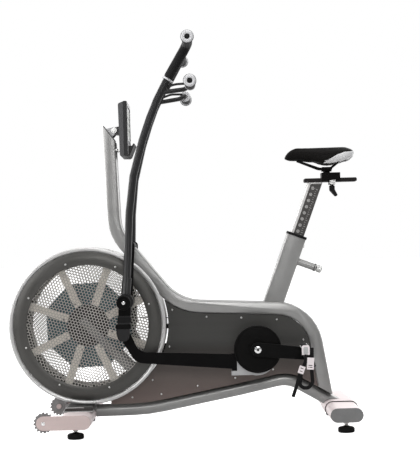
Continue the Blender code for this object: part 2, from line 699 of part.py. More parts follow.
def cover_ring():
    """XZ outline between the drum, the spine and the lower tube."""
    spine = [spine_point(p) for p in (MAST_FOOT, SPINE_DIP, SPINE_REAR, SPINE_END)]
    inside = offset_line(rounded(spine, (0.18, 0.145)), SPINE_DEEP / 2 + SPINE_PLAY)
    upper = after_circle(inside, COVER_FRONT_R)
    upper = [p for p in upper if p.z > 0.16]
    leg = beside((SPINE_REAR, SPINE_END), SPINE_DEEP / 2 + SPINE_PLAY)
    tube = beside(LOW_PATH[-2:], -LOW_TUBE_R - TUBE_PLAY)
    corner = intersect_line_line(*leg, *tube)[0]
    lower = offset_line(low_tube_path(), -LOW_TUBE_R - TUBE_PLAY)
    lower = [p for p in lower if COVER_TIP_X < p.x < corner.x - 0.004]
    tip = Vector((COVER_TIP_X, 0, LOW_PATH[0][1] + LOW_TUBE_R + 0.0020))
    stop = math.atan2(upper[0].z - FAN_Z, upper[0].x - FAN_X)
    start = -math.acos((tip.x - FAN_X) / COVER_UNDER_R)
    ring = [(p.x, p.z) for p in upper]
    ring.append((corner.x, corner.z))
    ring += [(p.x, p.z) for p in reversed(lower)]
    ring.append((tip.x, tip.z))
    count = 28
    for i in range(count):
        a = start + (stop - start) * i / count
        r = cover_radius(a)
        ring.append((FAN_X + r * math.cos(a), FAN_Z + r * math.sin(a)))
    return ring


def make_covers():
    ring = cover_ring()
    for side, sign in SIDES:
        y = sorted((sign * COVER_Y, sign * (COVER_Y + COVER_T)))
        cover = prism(f"side_cover_{side}", ring, *y, "cover_dark")
        cut(cover, prism("cutter", circle(CRANK_X, CRANK_Z, 0.020, 24), -1, 1, "steel"))


# ---------------------------------------------------------------- handles and rods
def make_pivot():
    """Cross tube under the mast foot, with a hanger and a stub shaft for each handle."""
    bar = rod_between("pivot_cross_tube", (PIVOT_X + 0.016, -0.1015, 0.655), (PIVOT_X + 0.016, 0.1015, 0.655),
                      0.0140, "black_metal", 20)
    hole = rod_between("cutter", (PIVOT_X + 0.016, -0.2, 0.655), (PIVOT_X + 0.016, 0.2, 0.655),
                       0.0144, "steel", 20)
    cut(bpy.data.objects["frame_spine"], hole)
    for side, sign in SIDES:
        ring = outline([(PIVOT_X - 0.019, PIVOT_Z - 0.020), (PIVOT_X + 0.019, PIVOT_Z - 0.020),
                        (PIVOT_X + 0.034, 0.672), (PIVOT_X - 0.002, 0.672)], (0.018, 0.018, 0.014, 0.014),
                       math.radians(22.5))
        y = sorted((sign * 0.1020, sign * 0.1100))
        hanger = prism(f"pivot_hanger_{side}", ring, *y, "black_metal")
        join(hanger, turned("flange", [(0.0285, 0), (0.0285, 0.006), (0.0120, 0.0062), (0.0120, 0.0850)],
                            (PIVOT_X, sign * 0.1080, PIVOT_Z), "black_metal", 24, (0, sign, 0)))


def make_foot_peg(side, sign):
    """Foot peg on the outer end of the pivot shaft."""
    profile = [(0.0, 0.0), (0.0165, 0.0), (0.0165, 0.062), (0.0225, 0.064), (0.0245, 0.068),
               (0.0245, 0.080), (0.0215, 0.084), (0.0100, 0.084), (0.0100, 0.0815), (0.0, 0.0815)]
    turned(f"foot_peg_{side}", profile, (PIVOT_X, sign * 0.1935, PIVOT_Z), "black_plastic", 20, (0, sign, 0))


HANDLE_BENDS = ((-0.190, 0.480), (-0.1640, 0.9000), (-0.0700, 1.1600), (0.0430, 1.3490))
HANDLE_TUBE_Y = 0.168
UPPER_GRIP_Y = (0.212, 0.312)
UPPER_GRIP_Z = 1.235                # lower end of the upper grip
LOWER_GRIP_Y = (0.200, 0.312)
LOWER_GRIP_AT = (0.0500, 1.2050)


def make_handle(side, sign):
    """Swing handle: hub, lever to the rod pin, and the bent tube up to the grips."""
    y = sign * HANDLE_TUBE_Y
    turn = HANDLE_TURN[sign]
    points = [(x, y, z) for x, z in HANDLE_BENDS]
    last = points[-1]
    points.append((last[0] + 0.002, sign * (UPPER_GRIP_Y[1] + 0.001), last[2] + 0.004))
    path = rounded(points, (0.90, 0.70, 0.034), math.radians(9))
    name = f"handle_{side}"
    tube = swept(name, path, section_round(0.0135, 12), "black_metal", section_round(0.0108, 12))
    hub = [(0.0280, 0.1160), (0.0280, 0.1850), (0.0130, 0.1850), (0.0130, 0.1160)]
    hub = [(r, sign * a) for r, a in hub]
    collar = turned("hub", hub, (PIVOT_X, 0, PIVOT_Z), "black_metal", 20, hollow=True)
    socket = rod_between("socket", (PIVOT_X + 0.0015, y, PIVOT_Z + 0.020), (-0.1855, y, 0.545), 0.0165,
                         "black_metal", 12)
    join(collar, socket)
    lever = outline([(PIVOT_X - 0.0195, PIVOT_Z - 0.018), (PIVOT_X - 0.0340, PIVOT_Z - 0.108),
                     (PIVOT_X - 0.0250, PIVOT_Z - 0.1370), (PIVOT_X + 0.0060, PIVOT_Z - 0.1370),
                     (PIVOT_X + 0.0120, PIVOT_Z - 0.108), (PIVOT_X + 0.0195, PIVOT_Z - 0.018)],
                    (0.004, 0.03, 0.014, 0.014, 0.03, 0.004), math.radians(30))
    join(collar, prism("lever", lever, *sorted((sign * 0.1500, sign * 0.1840)), "black_metal"))
    pin_x = PIVOT_X - 0.011
    pin_z = PIVOT_Z - LEVER
    join(collar, rod_between("pin", (pin_x, sign * 0.160, pin_z), (pin_x, sign * 0.1215, pin_z), 0.0070,
                             "black_metal", 20))
    join(tube, collar)
    grip_x, grip_z = LOWER_GRIP_AT
    branch_end = sign * (LOWER_GRIP_Y[1] + 0.001)
    branch_path = rounded([(-0.0556, y, 1.1840), (0.0280, y, 1.1935), (grip_x, y, grip_z),
                           (grip_x, branch_end, grip_z)], (0.020, 0.016), math.radians(15))
    join(tube, swept("branch", branch_path, section_round(0.0080, 10), "black_metal"))
    cut(tube, prism("cutter", circle(PIVOT_X, PIVOT_Z, 0.0130, 20), -1, 1, "steel"))
    make_grips(side, sign, path, turn)
    swing(bpy.data.objects[name], turn)


def swing(obj, turn):
    """Turns a handle piece about the pivot and puts its origin there."""
    pivot = Vector((PIVOT_X, 0, PIVOT_Z))
    matrix = Matrix.Rotation(turn, 4, "Y") @ Matrix.Translation(-pivot) @ obj.matrix_basis
    obj.data.transform(matrix)
    obj.matrix_basis = Matrix.Translation(pivot)


def make_grips(side, sign, path, turn):
    """Foam grips: the upper one from the ring round the elbow, the lower one on the branch."""
    start = next(i for i, p in enumerate(path) if p.z > UPPER_GRIP_Z)
    below, above = path[start - 1], path[start]
    first = below.lerp(above, (UPPER_GRIP_Z - below.z) / (above.z - below.z))
    route = [first, *path[start:-1], path[-1]]
    end = route[-1]
    end.y = sign * UPPER_GRIP_Y[1]
    upper = swept(f"upper_grip_{side}", route, section_round(0.0175, 12), "rubber", section_round(0.0143, 12))
    route = [(LOWER_GRIP_AT[0], sign * at, LOWER_GRIP_AT[1]) for at in LOWER_GRIP_Y]
    lower = swept(f"lower_grip_{side}", route, section_round(0.0175, 12), "rubber",
                  section_round(0.0085, 12), (0, 0, 1))
    swing(upper, turn)
    swing(lower, turn)


def rod_pin(sign):
    return turned_about(PIVOT_X, PIVOT_Z, HANDLE_TURN[sign], PIVOT_X - 0.011, PIVOT_Z - LEVER)


ROD_FLANGE_X = 0.173


def make_rod(side, sign):
    """Flat connecting rod, bent just behind the lever, with a bolting flange at its rear end."""
    px, pz = rod_pin(sign)
    level = throw_centre(sign)[1] - 0.018
    corners = (
        (px + 0.0185, pz + 0.0185, 0.0175), (px + 0.0185, pz + 0.0120, 0.0),
        (px + 0.0513, pz - 0.0642, 0.045), (ROD_FLANGE_X, level + 0.0280, 0.0),
        (ROD_FLANGE_X, level - 0.0230, 0.0), (px + 0.0400, pz - 0.1010, 0.050),
        (px - 0.0185, pz - 0.0020, 0.010), (px - 0.0185, pz + 0.0185, 0.0175),
    )
    ring = outline([(x, z) for x, z, _ in corners], [r for _, _, r in corners], math.radians(12))
    y = sorted((sign * (ROD_Y - 0.006), sign * (ROD_Y + 0.006)))
    pin = (px, sign * ROD_Y, pz)
    rod = prism(f"connecting_rod_{side}", ring, *y, "black_metal", pin)
    cut(rod, prism("cutter", circle(px, pz, 0.0076, 24), -1, 1, "steel"))
    inner, outer = sorted((sign * (ROD_Y - 0.016), sign * (ROD_Y + 0.0082)))
    join(rod, box("flange", (ROD_FLANGE_X - 0.002, inner, level - 0.030),
                  (ROD_FLANGE_X + 0.015, outer, level + 0.030), "black_metal"))
    make_rod_strap(side, sign, level, pin)


STRAP_R, STRAP_BORE = 0.0660, 0.0535


def make_rod_strap(side, sign, level, pin):
    """Ring round the eccentric, on a bracket that bolts to the rod's flange."""
    ex, ez = throw_centre(sign)
    face_x = ROD_FLANGE_X + 0.015 + GAP
    y = sorted((sign * (ROD_Y - 0.008), sign * (ROD_Y + 0.008)))
    strap = prism(f"rod_strap_{side}", circle(ex, ez, STRAP_R, 40), *y, "cast_grey", pin)
    foot = [(face_x, level + 0.030), (face_x, level - 0.0304), (ROD_FLANGE_X - 0.004, level - 0.0304),
            (ROD_FLANGE_X - 0.004, level - 0.0460), (ex - 0.015, ez - STRAP_R + 0.0020),
            (ex - 0.012, ez + STRAP_R - 0.0060)]
    join(strap, prism("foot", foot, *y, "cast_grey"))
    cut(strap, prism("cutter", circle(ex, ez, STRAP_BORE, 40), -1, 1, "steel"))


# ---------------------------------------------------------------- seat
POST_HOLE_STEP = 0.0233


def make_seat_post():
    """Post with a row of holes for the pull pin in its rear wall, and the level rail on its top."""
    post = swept("seat_post", [spine_point(seat_axis(0.216)), spine_point(seat_axis(-0.165))],
                 section_box(POST_DEEP, POST_WIDE, 0.004, 2), "steel",
                 section_box(POST_DEEP - 0.005, POST_WIDE - 0.005, 0.002, 2))
    cut(post, box("cutter", (0.3, -1, RAIL_Z0 + 0.0040), (0.8, 1, 1.2), "steel"))
    for i in range(-2, 11):
        along = PIN_ALONG + POST_HOLE_STEP * i
        inside, outside = spine_point(seat_axis(along)), spine_point(seat_axis(along, POST_DEEP))
        cut(post, rod_between("cutter", inside, outside, 0.0058, "steel", 10))
    rail = outline([(RAIL_X0, RAIL_Z0), (RAIL_X1, RAIL_Z0), (RAIL_X1, RAIL_Z1), (RAIL_X0, RAIL_Z1)],
                   (0.005,) * 4, math.radians(30))
    join(post, prism("rail", rail, -0.021, 0.021, "steel"))
    lift(post, (SEAT_TOP_X, 0, SEAT_TOP_Z))


def lift(obj, origin):
    """Moves an object's origin without moving its mesh."""
    offset = Vector(origin) - obj.location
    obj.data.transform(Matrix.Translation(-offset))
    obj.location = origin


CARRIAGE_X0, CARRIAGE_X1 = 0.5110, 0.5770
CLAMP_X0, CLAMP_X1 = 0.5390, 0.5590     # the part of the carriage that reaches under the rail
LEVER_X, LEVER_Z = 0.5490, 0.8470


def make_carriage():
    """Carriage that wraps the rail, with the saddle clamp on top and a cam bolt below."""
    x0, x1 = CARRIAGE_X0, CARRIAGE_X1
    block = box("saddle_carriage", (x0, -0.030, 0.8590), (x1, 0.030, 0.9010), "black_metal",
                ((x0 + x1) / 2, 0, RAIL_Z1))
    play = 0.0006
    cut(block, box("cutter", (x0 - 1, -0.021 - play, RAIL_Z0 - play), (x1 + 1, 0.021 + play, RAIL_Z1 + play),
                   "steel"))
    for reach in ((x0 - 1, CLAMP_X0), (CLAMP_X1, x1 + 1)):
        cut(block, box("cutter", (reach[0], -1, 0.8), (reach[1], 1, RAIL_Z0 + 0.0055), "steel"))
    stem = [(0.0125, 0.8990), (0.0125, 0.9060), (0.0190, 0.9065), (0.0190, 0.9130), (0.0, 0.9130)]
    join(block, turned("clamp", [(0.0, 0.8990), *stem], (0.531, 0, 0), "black_metal", 20, (0, 0, 1)))
    screw = turned("screw", [(0.0, 0.8360), (0.0060, 0.8360), (0.0060, 0.8595), (0.0, 0.8595)],
                   (LEVER_X, 0, 0), "steel", 16, (0, 0, 1))
    join(block, screw)
    make_saddle_rails(block)


def make_carriage_lever():
    """Clamp lever that turns on the carriage's screw."""
    ring = outline([(LEVER_X - 0.0095, LEVER_Z + 0.0085), (LEVER_X - 0.0090, LEVER_Z - 0.0090),
                    (LEVER_X + 0.0110, LEVER_Z - 0.0320), (LEVER_X + 0.0200, LEVER_Z - 0.0275),
                    (LEVER_X + 0.0092, LEVER_Z - 0.0070), (LEVER_X + 0.0092, LEVER_Z + 0.0085)],
                   (0.003, 0.005, 0.004, 0.004, 0.006, 0.003), math.radians(45))
    lever = prism("carriage_lever", ring, -0.011, 0.011, "black_plastic", (LEVER_X, 0, LEVER_Z))
    cut(lever, turned("cutter", [(0.0064, -0.1), (0.0064, 0.1)], (LEVER_X, 0, LEVER_Z), "steel", 18,
                      (0, 0, 1)))


SADDLE_STATIONS = (
    # x, half width, top z, lowest z of the flanks
    (0.3775, 0.012, 0.9640, 0.9560),
    (0.3840, 0.021, 0.9740, 0.9540),
    (0.4020, 0.026, 0.9860, 0.9535),
    (0.4300, 0.031, 0.9895, 0.9530),
    (0.4560, 0.041, 0.9895, 0.9400),
    (0.4820, 0.056, 0.9885, 0.9310),
    (0.5100, 0.077, 0.9875, 0.9235),
    (0.5400, 0.091, 0.9875, 0.9265),
    (0.5720, 0.099, 0.9885, 0.9330),
    (0.5980, 0.098, 0.9885, 0.9385),
    (0.6150, 0.088, 0.9850, 0.9430),
    (0.6235, 0.070, 0.9770, 0.9490),
)
SADDLE_UNDERSIDE = 0.9500           # middle of the underside, arched over the rails


def saddle_section(half, top, flank, count=24):
    """(y, z) points round the cushion: crowned top, and an underside arched between the flanks."""
    ring = []
    centre = (top + flank) / 2
    for i in range(count):
        a = 2 * math.pi * i / count
        c, s = math.cos(a), math.sin(a)
        out = abs(c) ** 0.7
        y = half * math.copysign(out, c)
        if s >= 0:
            ring.append((y, centre + (top - centre) * s ** 0.7))
            continue
        drop = min(1.0, max(0.0, (out - 0.50) / 0.28))
        low = flank + (max(flank, SADDLE_UNDERSIDE) - flank) * (1 - drop)
        ring.append((y, centre - (centre - low) * (-s) ** 0.5))
    return ring


def make_saddle():
    """Closed cushion lofted along X."""
    bm = bmesh.new()
    rings = []
    for x, half, top, flank in SADDLE_STATIONS:
        rings.append([bm.verts.new((x, y, z)) for y, z in saddle_section(half, top, flank)])
    for a, b in zip(rings, rings[1:]):
        for i in range(len(a)):
            j = (i + 1) % len(a)
            bm.faces.new((a[i], a[j], b[j], b[i]))
    bm.faces.new(rings[0])
    bm.faces.new(rings[-1])
    return finish("saddle", bm, "saddle_black", (0.531, 0, 0.94))


def make_saddle_rails(carriage):
    """Bent wire rails in the clamp plate on top of the carriage."""
    plate = box("plate", (0.5130, -0.029, 0.9120), (0.5490, 0.029, 0.9210), "steel")
    for sign in (-1, 1):
        y = sign * 0.022
        path = rounded([(0.425, sign * 0.008, 0.9465), (0.504, y, 0.9155), (0.543, y, 0.9155),
                        (0.568, sign * 0.040, 0.9350)], (0.03, 0.02), math.radians(15))
        join(plate, swept("rail", path, section_round(0.0038, 6), "steel"))
    join(carriage, plate)


def make_pull_pin():
    """Spring pin with a round knob, pulled out along its own axis to free the post."""
    start = Vector(spine_point(seat_axis(PIN_ALONG, 0.0262)))
    axis = (PIN_DIR[0], 0, PIN_DIR[1])
    profile = [(0.0, 0.0), (0.0045, 0.0), (0.0055, 0.0015), (0.0055, 0.0785), (0.0100, 0.0795),
               (0.0125, 0.0830), (0.0125, 0.0960), (0.0090, 0.1000), (0.0, 0.1000)]
    turned("pull_pin", profile, start, "steel", 20, axis)


# ---------------------------------------------------------------- console
def make_console_lug():
    """Plate on the mast's sloping end with two ears for the tilt bolt."""
    normal = Vector((0.80, 0, 0.60))
    along = Vector((-0.60, 0, 0.80))
    at = Vector((-0.2475, 0, 1.060)) + normal * GAP
    ring = [at - along * 0.0300, at + along * 0.0290, at + along * 0.0290 + normal * 0.003,
            at - along * 0.0300 + normal * 0.003]
    lug = prism("console_lug", [(p.x, p.z) for p in ring], -0.037, 0.037, "cast_grey")
    px, pz = CONSOLE_PIVOT_X, CONSOLE_PIVOT_Z
    base = [at - along * 0.019, at + along * 0.019]
    ear = [(base[0].x, base[0].z), (px + 0.0115, pz - 0.004), (px + 0.0100, pz + 0.008),
           (px, pz + 0.0130), (px - 0.006, pz + 0.0120), (base[1].x, base[1].z)]
    for sign in (-1, 1):
        y = sorted((sign * 0.0260, sign * 0.0310))
        join(lug, prism("ear", ear, *y, "cast_grey"))
    bolt = rod_between("bolt", (px, -0.0360, pz), (px, 0.0360, pz), 0.0060, "cast_grey", 20)
    join(lug, bolt)


CONSOLE_X0, CONSOLE_X1, CONSOLE_X2 = -0.2080, -0.1890, -0.1760
CONSOLE_Z0, CONSOLE_Z1 = 0.9740, 1.1680
CONSOLE_HALF = 0.092


def make_console():
    """Rear shell with its tilt knuckle, front bezel with the screen, and a small ledge."""
    pivot = (CONSOLE_PIVOT_X, 0, CONSOLE_PIVOT_Z)
    z0, z1 = CONSOLE_Z0, CONSOLE_Z1
    shell_ring = outline([(CONSOLE_X0 + 0.003, z0), (CONSOLE_X1 - GAP, z0), (CONSOLE_X1 - GAP, z1 - 0.001),
                          (CONSOLE_X0, z1 - 0.008)], (0.005, 0.0, 0.0, 0.006), math.radians(45))
    shell = prism("console_shell", shell_ring, -CONSOLE_HALF, CONSOLE_HALF, "shell_grey", pivot)
    px, pz = CONSOLE_PIVOT_X, CONSOLE_PIVOT_Z
    root_x = CONSOLE_X0 + 0.004
    knuckle = outline([(px - 0.010, pz - 0.010), (root_x, pz - 0.016), (root_x, pz + 0.016),
                       (px - 0.010, pz + 0.010)], (0.009, 0.0, 0.0, 0.009), math.radians(30))
    join(shell, prism("knuckle", knuckle, -0.0250, 0.0250, "shell_grey"))
    cut(shell, prism("cutter", circle(px, pz, 0.0064, 24), -0.1, 0.1, "steel"))
    front = CONSOLE_X2
    bezel_ring = outline([(CONSOLE_X1, z0), (front, z0), (front, z1), (CONSOLE_X1, z1)],
                         (0.0, 0.003, 0.003, 0.0), math.radians(45))
    half = CONSOLE_HALF + 0.002
    bezel = prism("console_bezel", bezel_ring, -half, half, "black_plastic", pivot)
    cut(bezel, box("cutter", (front - 0.003, -0.075, z0 + 0.062), (front + 0.02, 0.075, z1 - 0.016), "steel"))
    ledge_ring = [(front - 0.003, z0 + 0.004), (front + 0.004, z0), (front + 0.0225, z0 + 0.0440),
                  (front + 0.0185, z0 + 0.0455), (front + 0.0130, z0 + 0.0370), (front - 0.003, z0 + 0.0380)]
    join(bezel, prism("ledge", ledge_ring, -0.070, 0.070, "black_plastic"))


# ---------------------------------------------------------------- assembly
def centre_on_origin():
    for obj in bpy.data.objects:
        obj.location.x -= MIDDLE_X


def build():
    clear_scene()
    make_mast_and_spine()
    make_lower_tube()
    make_seat_tube()
    make_seat_sleeve()
    make_stabilizers()
    make_brackets()
    make_drum()
    make_fan()
    make_fan_axle()
    make_belt()
    make_crank()
    make_bottom_bracket()
    make_covers()
    make_pivot()
    for side, sign in SIDES:
        make_guard(side, sign)
        make_wheel(side, sign)
        make_foot_peg(side, sign)
        make_handle(side, sign)
        make_rod(side, sign)
        make_pedal(side, sign)
    make_seat_post()
    make_carriage()
    make_carriage_lever()
    make_saddle()
    make_pull_pin()
    make_console_lug()
    make_console()
    centre_on_origin()


build()
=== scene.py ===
"""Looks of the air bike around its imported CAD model, in metres: +X rear, +Y rider's right, +Z up."""

import json
import math

import bmesh
import bpy
import numpy as np
from mathutils import Matrix, Vector
from mathutils.bvhtree import BVHTree

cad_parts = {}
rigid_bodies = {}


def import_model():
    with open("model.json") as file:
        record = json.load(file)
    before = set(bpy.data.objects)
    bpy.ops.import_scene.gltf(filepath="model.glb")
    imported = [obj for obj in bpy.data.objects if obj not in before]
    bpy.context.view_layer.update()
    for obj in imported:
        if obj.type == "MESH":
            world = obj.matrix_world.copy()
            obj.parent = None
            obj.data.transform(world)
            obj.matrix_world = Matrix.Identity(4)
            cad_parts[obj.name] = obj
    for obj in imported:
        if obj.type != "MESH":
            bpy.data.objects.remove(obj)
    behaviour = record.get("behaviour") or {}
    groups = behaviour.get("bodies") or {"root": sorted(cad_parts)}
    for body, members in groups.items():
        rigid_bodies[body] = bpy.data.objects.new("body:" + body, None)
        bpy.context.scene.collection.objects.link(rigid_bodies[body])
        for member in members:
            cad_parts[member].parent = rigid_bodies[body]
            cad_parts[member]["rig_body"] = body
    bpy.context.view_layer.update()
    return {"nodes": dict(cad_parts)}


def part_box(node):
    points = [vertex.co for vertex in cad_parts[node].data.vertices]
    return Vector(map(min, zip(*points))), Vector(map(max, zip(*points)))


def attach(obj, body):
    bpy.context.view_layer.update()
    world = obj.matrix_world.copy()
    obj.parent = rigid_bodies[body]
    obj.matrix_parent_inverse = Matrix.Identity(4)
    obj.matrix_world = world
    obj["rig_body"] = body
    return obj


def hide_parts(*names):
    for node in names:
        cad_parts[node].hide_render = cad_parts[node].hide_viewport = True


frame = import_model()
SIDES = (("left", -1), ("right", 1))
WHITE = (1, 1, 1, 1)


def middle(name):
    low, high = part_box(name)
    return (low + high) / 2


FAN = (middle("fan_guard_left") + middle("fan_guard_right")) / 2
CRANK = middle("crank_axle")
PIVOT = middle("foot_peg_left")
DRUM_R, DRUM_HALF, WINDOW_R, GUARD_R = 0.2776, 0.086, 0.2155, 0.262
HOOP_SHADE_RADIUS = 0.2592                # faces nearer the fan's axis are the hoop's inner wall, which gets the dark hub finish as painted shade
SEAT_LEAN = math.radians(20.6)
SEAT_TOP = Vector((0.4033, 0, 0.6745))


# ---------------------------------------------------------------- materials
def node(tree, kind, operation=None, **inputs):
    """A shader node; each input is a socket to link or a value, and v0, v1, v2 go by position."""
    made = tree.nodes.new(f"ShaderNode{kind}")
    if operation:
        made.operation = operation
    for key, value in inputs.items():
        slot = made.inputs[int(key[1:]) if key[1:].isdigit() else key.replace("_", " ")]
        if isinstance(value, bpy.types.NodeSocket):
            tree.links.new(value, slot)
        else:
            slot.default_value = value
    return made


def math_of(tree, operation, *values):
    return node(tree, "Math", operation, **{f"v{i}": value for i, value in enumerate(values)}).outputs[0]


def object_coords(tree):
    return next(n for n in tree.nodes if n.type == "TEX_COORD").outputs["Object"]


def grain_noise(tree, vector, size, detail=3.0):
    return node(tree, "TexNoise", Vector=vector, Scale=1.0 / size, Detail=detail, Roughness=0.55).outputs["Fac"]


def spread(tree, value, low, high):
    """Noise around its middle, stretched to run from low to high."""
    made = node(tree, "MapRange", Value=value, From_Min=0.3, From_Max=0.7, To_Min=low, To_Max=high)
    return made.outputs["Result"]


def two_tone(tree, value, dark, light):
    ramp = node(tree, "ValToRGB", Fac=value)
    for element, position, colour in zip(ramp.color_ramp.elements, (0.32, 0.68), (dark, light)):
        element.position = position
        element.color = (*colour, 1)
    return ramp.outputs["Color"]


def ring_vector(tree, coords, centre, along):
    """Coordinates that run round an axis parallel to Y: radius, a little of the angle, and Y."""
    offset = node(tree, "VectorMath", "SUBTRACT", v0=coords, v1=centre).outputs[0]
    split = node(tree, "SeparateXYZ", v0=offset).outputs
    flat = node(tree, "CombineXYZ", X=split["X"], Z=split["Z"]).outputs[0]
    radius = node(tree, "VectorMath", "LENGTH", v0=flat).outputs["Value"]
    angle = math_of(tree, "ARCTAN2", split["Z"], split["X"])
    return node(tree, "CombineXYZ", X=radius, Y=math_of(tree, "MULTIPLY", angle, along), Z=split["Y"]).outputs[0]


def look(name, colour, rough, metal, grain, bump, tone, patch, vary, stretch=(1, 1, 1), specular=0.5, coat=0.0,
         sheen=0.0, ring=None, second=None):
    """A Principled material whose colour, roughness and surface come from noise in object space."""
    mat = bpy.data.materials.new(name)
    mat.use_nodes = True
    tree = mat.node_tree
    shader = tree.nodes["Principled BSDF"]
    fixed = {"Metallic": metal, "Specular IOR Level": specular, "Coat Weight": coat, "Coat Roughness": 0.25,
             "Sheen Weight": sheen, "Sheen Roughness": 0.5}
    for key, value in fixed.items():
        shader.inputs[key].default_value = value
    coords = tree.nodes.new("ShaderNodeTexCoord").outputs["Object"]
    source = ring_vector(tree, coords, *ring) if ring else coords
    mapped = node(tree, "Mapping", Vector=source, Scale=stretch).outputs[0]
    fine = grain_noise(tree, mapped, grain)
    coarse = grain_noise(tree, mapped if ring or stretch != (1, 1, 1) else coords, patch, 4.0)
    mix = math_of(tree, "MULTIPLY_ADD", fine, 0.45, math_of(tree, "MULTIPLY", coarse, 0.55))
    dark = tuple(c * (1 - tone) for c in colour)
    light = tuple(c * (1 + tone) for c in (second or colour))
    lift = node(tree, "Bump", Height=fine, Strength=bump, Distance=grain * 0.4).outputs[0]
    surface = {"Base Color": two_tone(tree, mix, dark, light), "Normal": lift,
               "Roughness": spread(tree, coarse, rough - vary, rough + vary)}
    for key, value in surface.items():
        tree.links.new(value, shader.inputs[key])
    return mat


def bump_below(mat, height, strength, distance):
    """Lay a coarser relief under the material's grain."""
    tree = mat.node_tree
    grain = next(n for n in tree.nodes if n.type == "BUMP")
    relief = node(tree, "Bump", Height=height, Strength=strength, Distance=distance)
    tree.links.new(relief.outputs[0], grain.inputs["Normal"])
    return mat


def cell_look(name, colour, rough, size, bump, tone, specular, sheen=0.0):
    """Leather or foam: cells of one size over the surface, with creases between them."""
    mat = look(name, colour, rough, 0.0, size, 0.2, tone, 0.03, 0.06, specular=specular, sheen=sheen)
    tree = mat.node_tree
    cells = node(tree, "TexVoronoi", Vector=object_coords(tree), Scale=1.0 / size)
    cells.feature = "DISTANCE_TO_EDGE"
    return bump_below(mat, spread(tree, cells.outputs["Distance"], 0.0, 1.0), bump, size * 0.3)


def weave_look(name, colour, rough, pitch):
    """Webbing: two crossing sets of threads."""
    mat = look(name, colour, rough, 0.0, pitch * 0.4, 0.3, 0.25, 0.02, 0.05, specular=0.12, sheen=0.03)
    tree = mat.node_tree
    threads = []
    for way in ("X", "Z"):
        wave = node(tree, "TexWave", Vector=object_coords(tree), Scale=0.05 / pitch, Distortion=0.4)
        wave.bands_direction = way
        threads.append(wave.outputs["Fac"])
    return bump_below(mat, math_of(tree, "MULTIPLY", *threads), 0.6, pitch * 0.3)


def cover_look_with_floor_reflection(name):
    """Dark brushed sheet that turns lighter and browner towards the lower tube, a painted reflection of the floor."""
    mat = look(name, (0.056, 0.055, 0.052), 0.36, 0.55, 0.0009, 0.1, 0.1, 0.05, 0.04, (0.05, 1, 1))
    tree = mat.node_tree
    colour = tree.nodes["Principled BSDF"].inputs["Base Color"]
    # painted reflection of the floor: the base colour is multiplied lighter and browner below Z 0.3, in full at Z 0.1
    height = node(tree, "SeparateXYZ", v0=object_coords(tree)).outputs["Z"]
    low = node(tree, "MapRange", Value=height, From_Min=0.3, From_Max=0.1, To_Min=0.0, To_Max=1.0)
    mix = tree.nodes.new("ShaderNodeMix")
    mix.data_type = "RGBA"
    mix.blend_type = "MULTIPLY"
    mix.inputs[7].default_value = (2.6, 2.05, 1.98, 1)
    tree.links.new(low.outputs["Result"], mix.inputs[0])
    tree.links.new(colour.links[0].from_socket, mix.inputs[6])
    tree.links.new(mix.outputs[2], colour)
    return mat


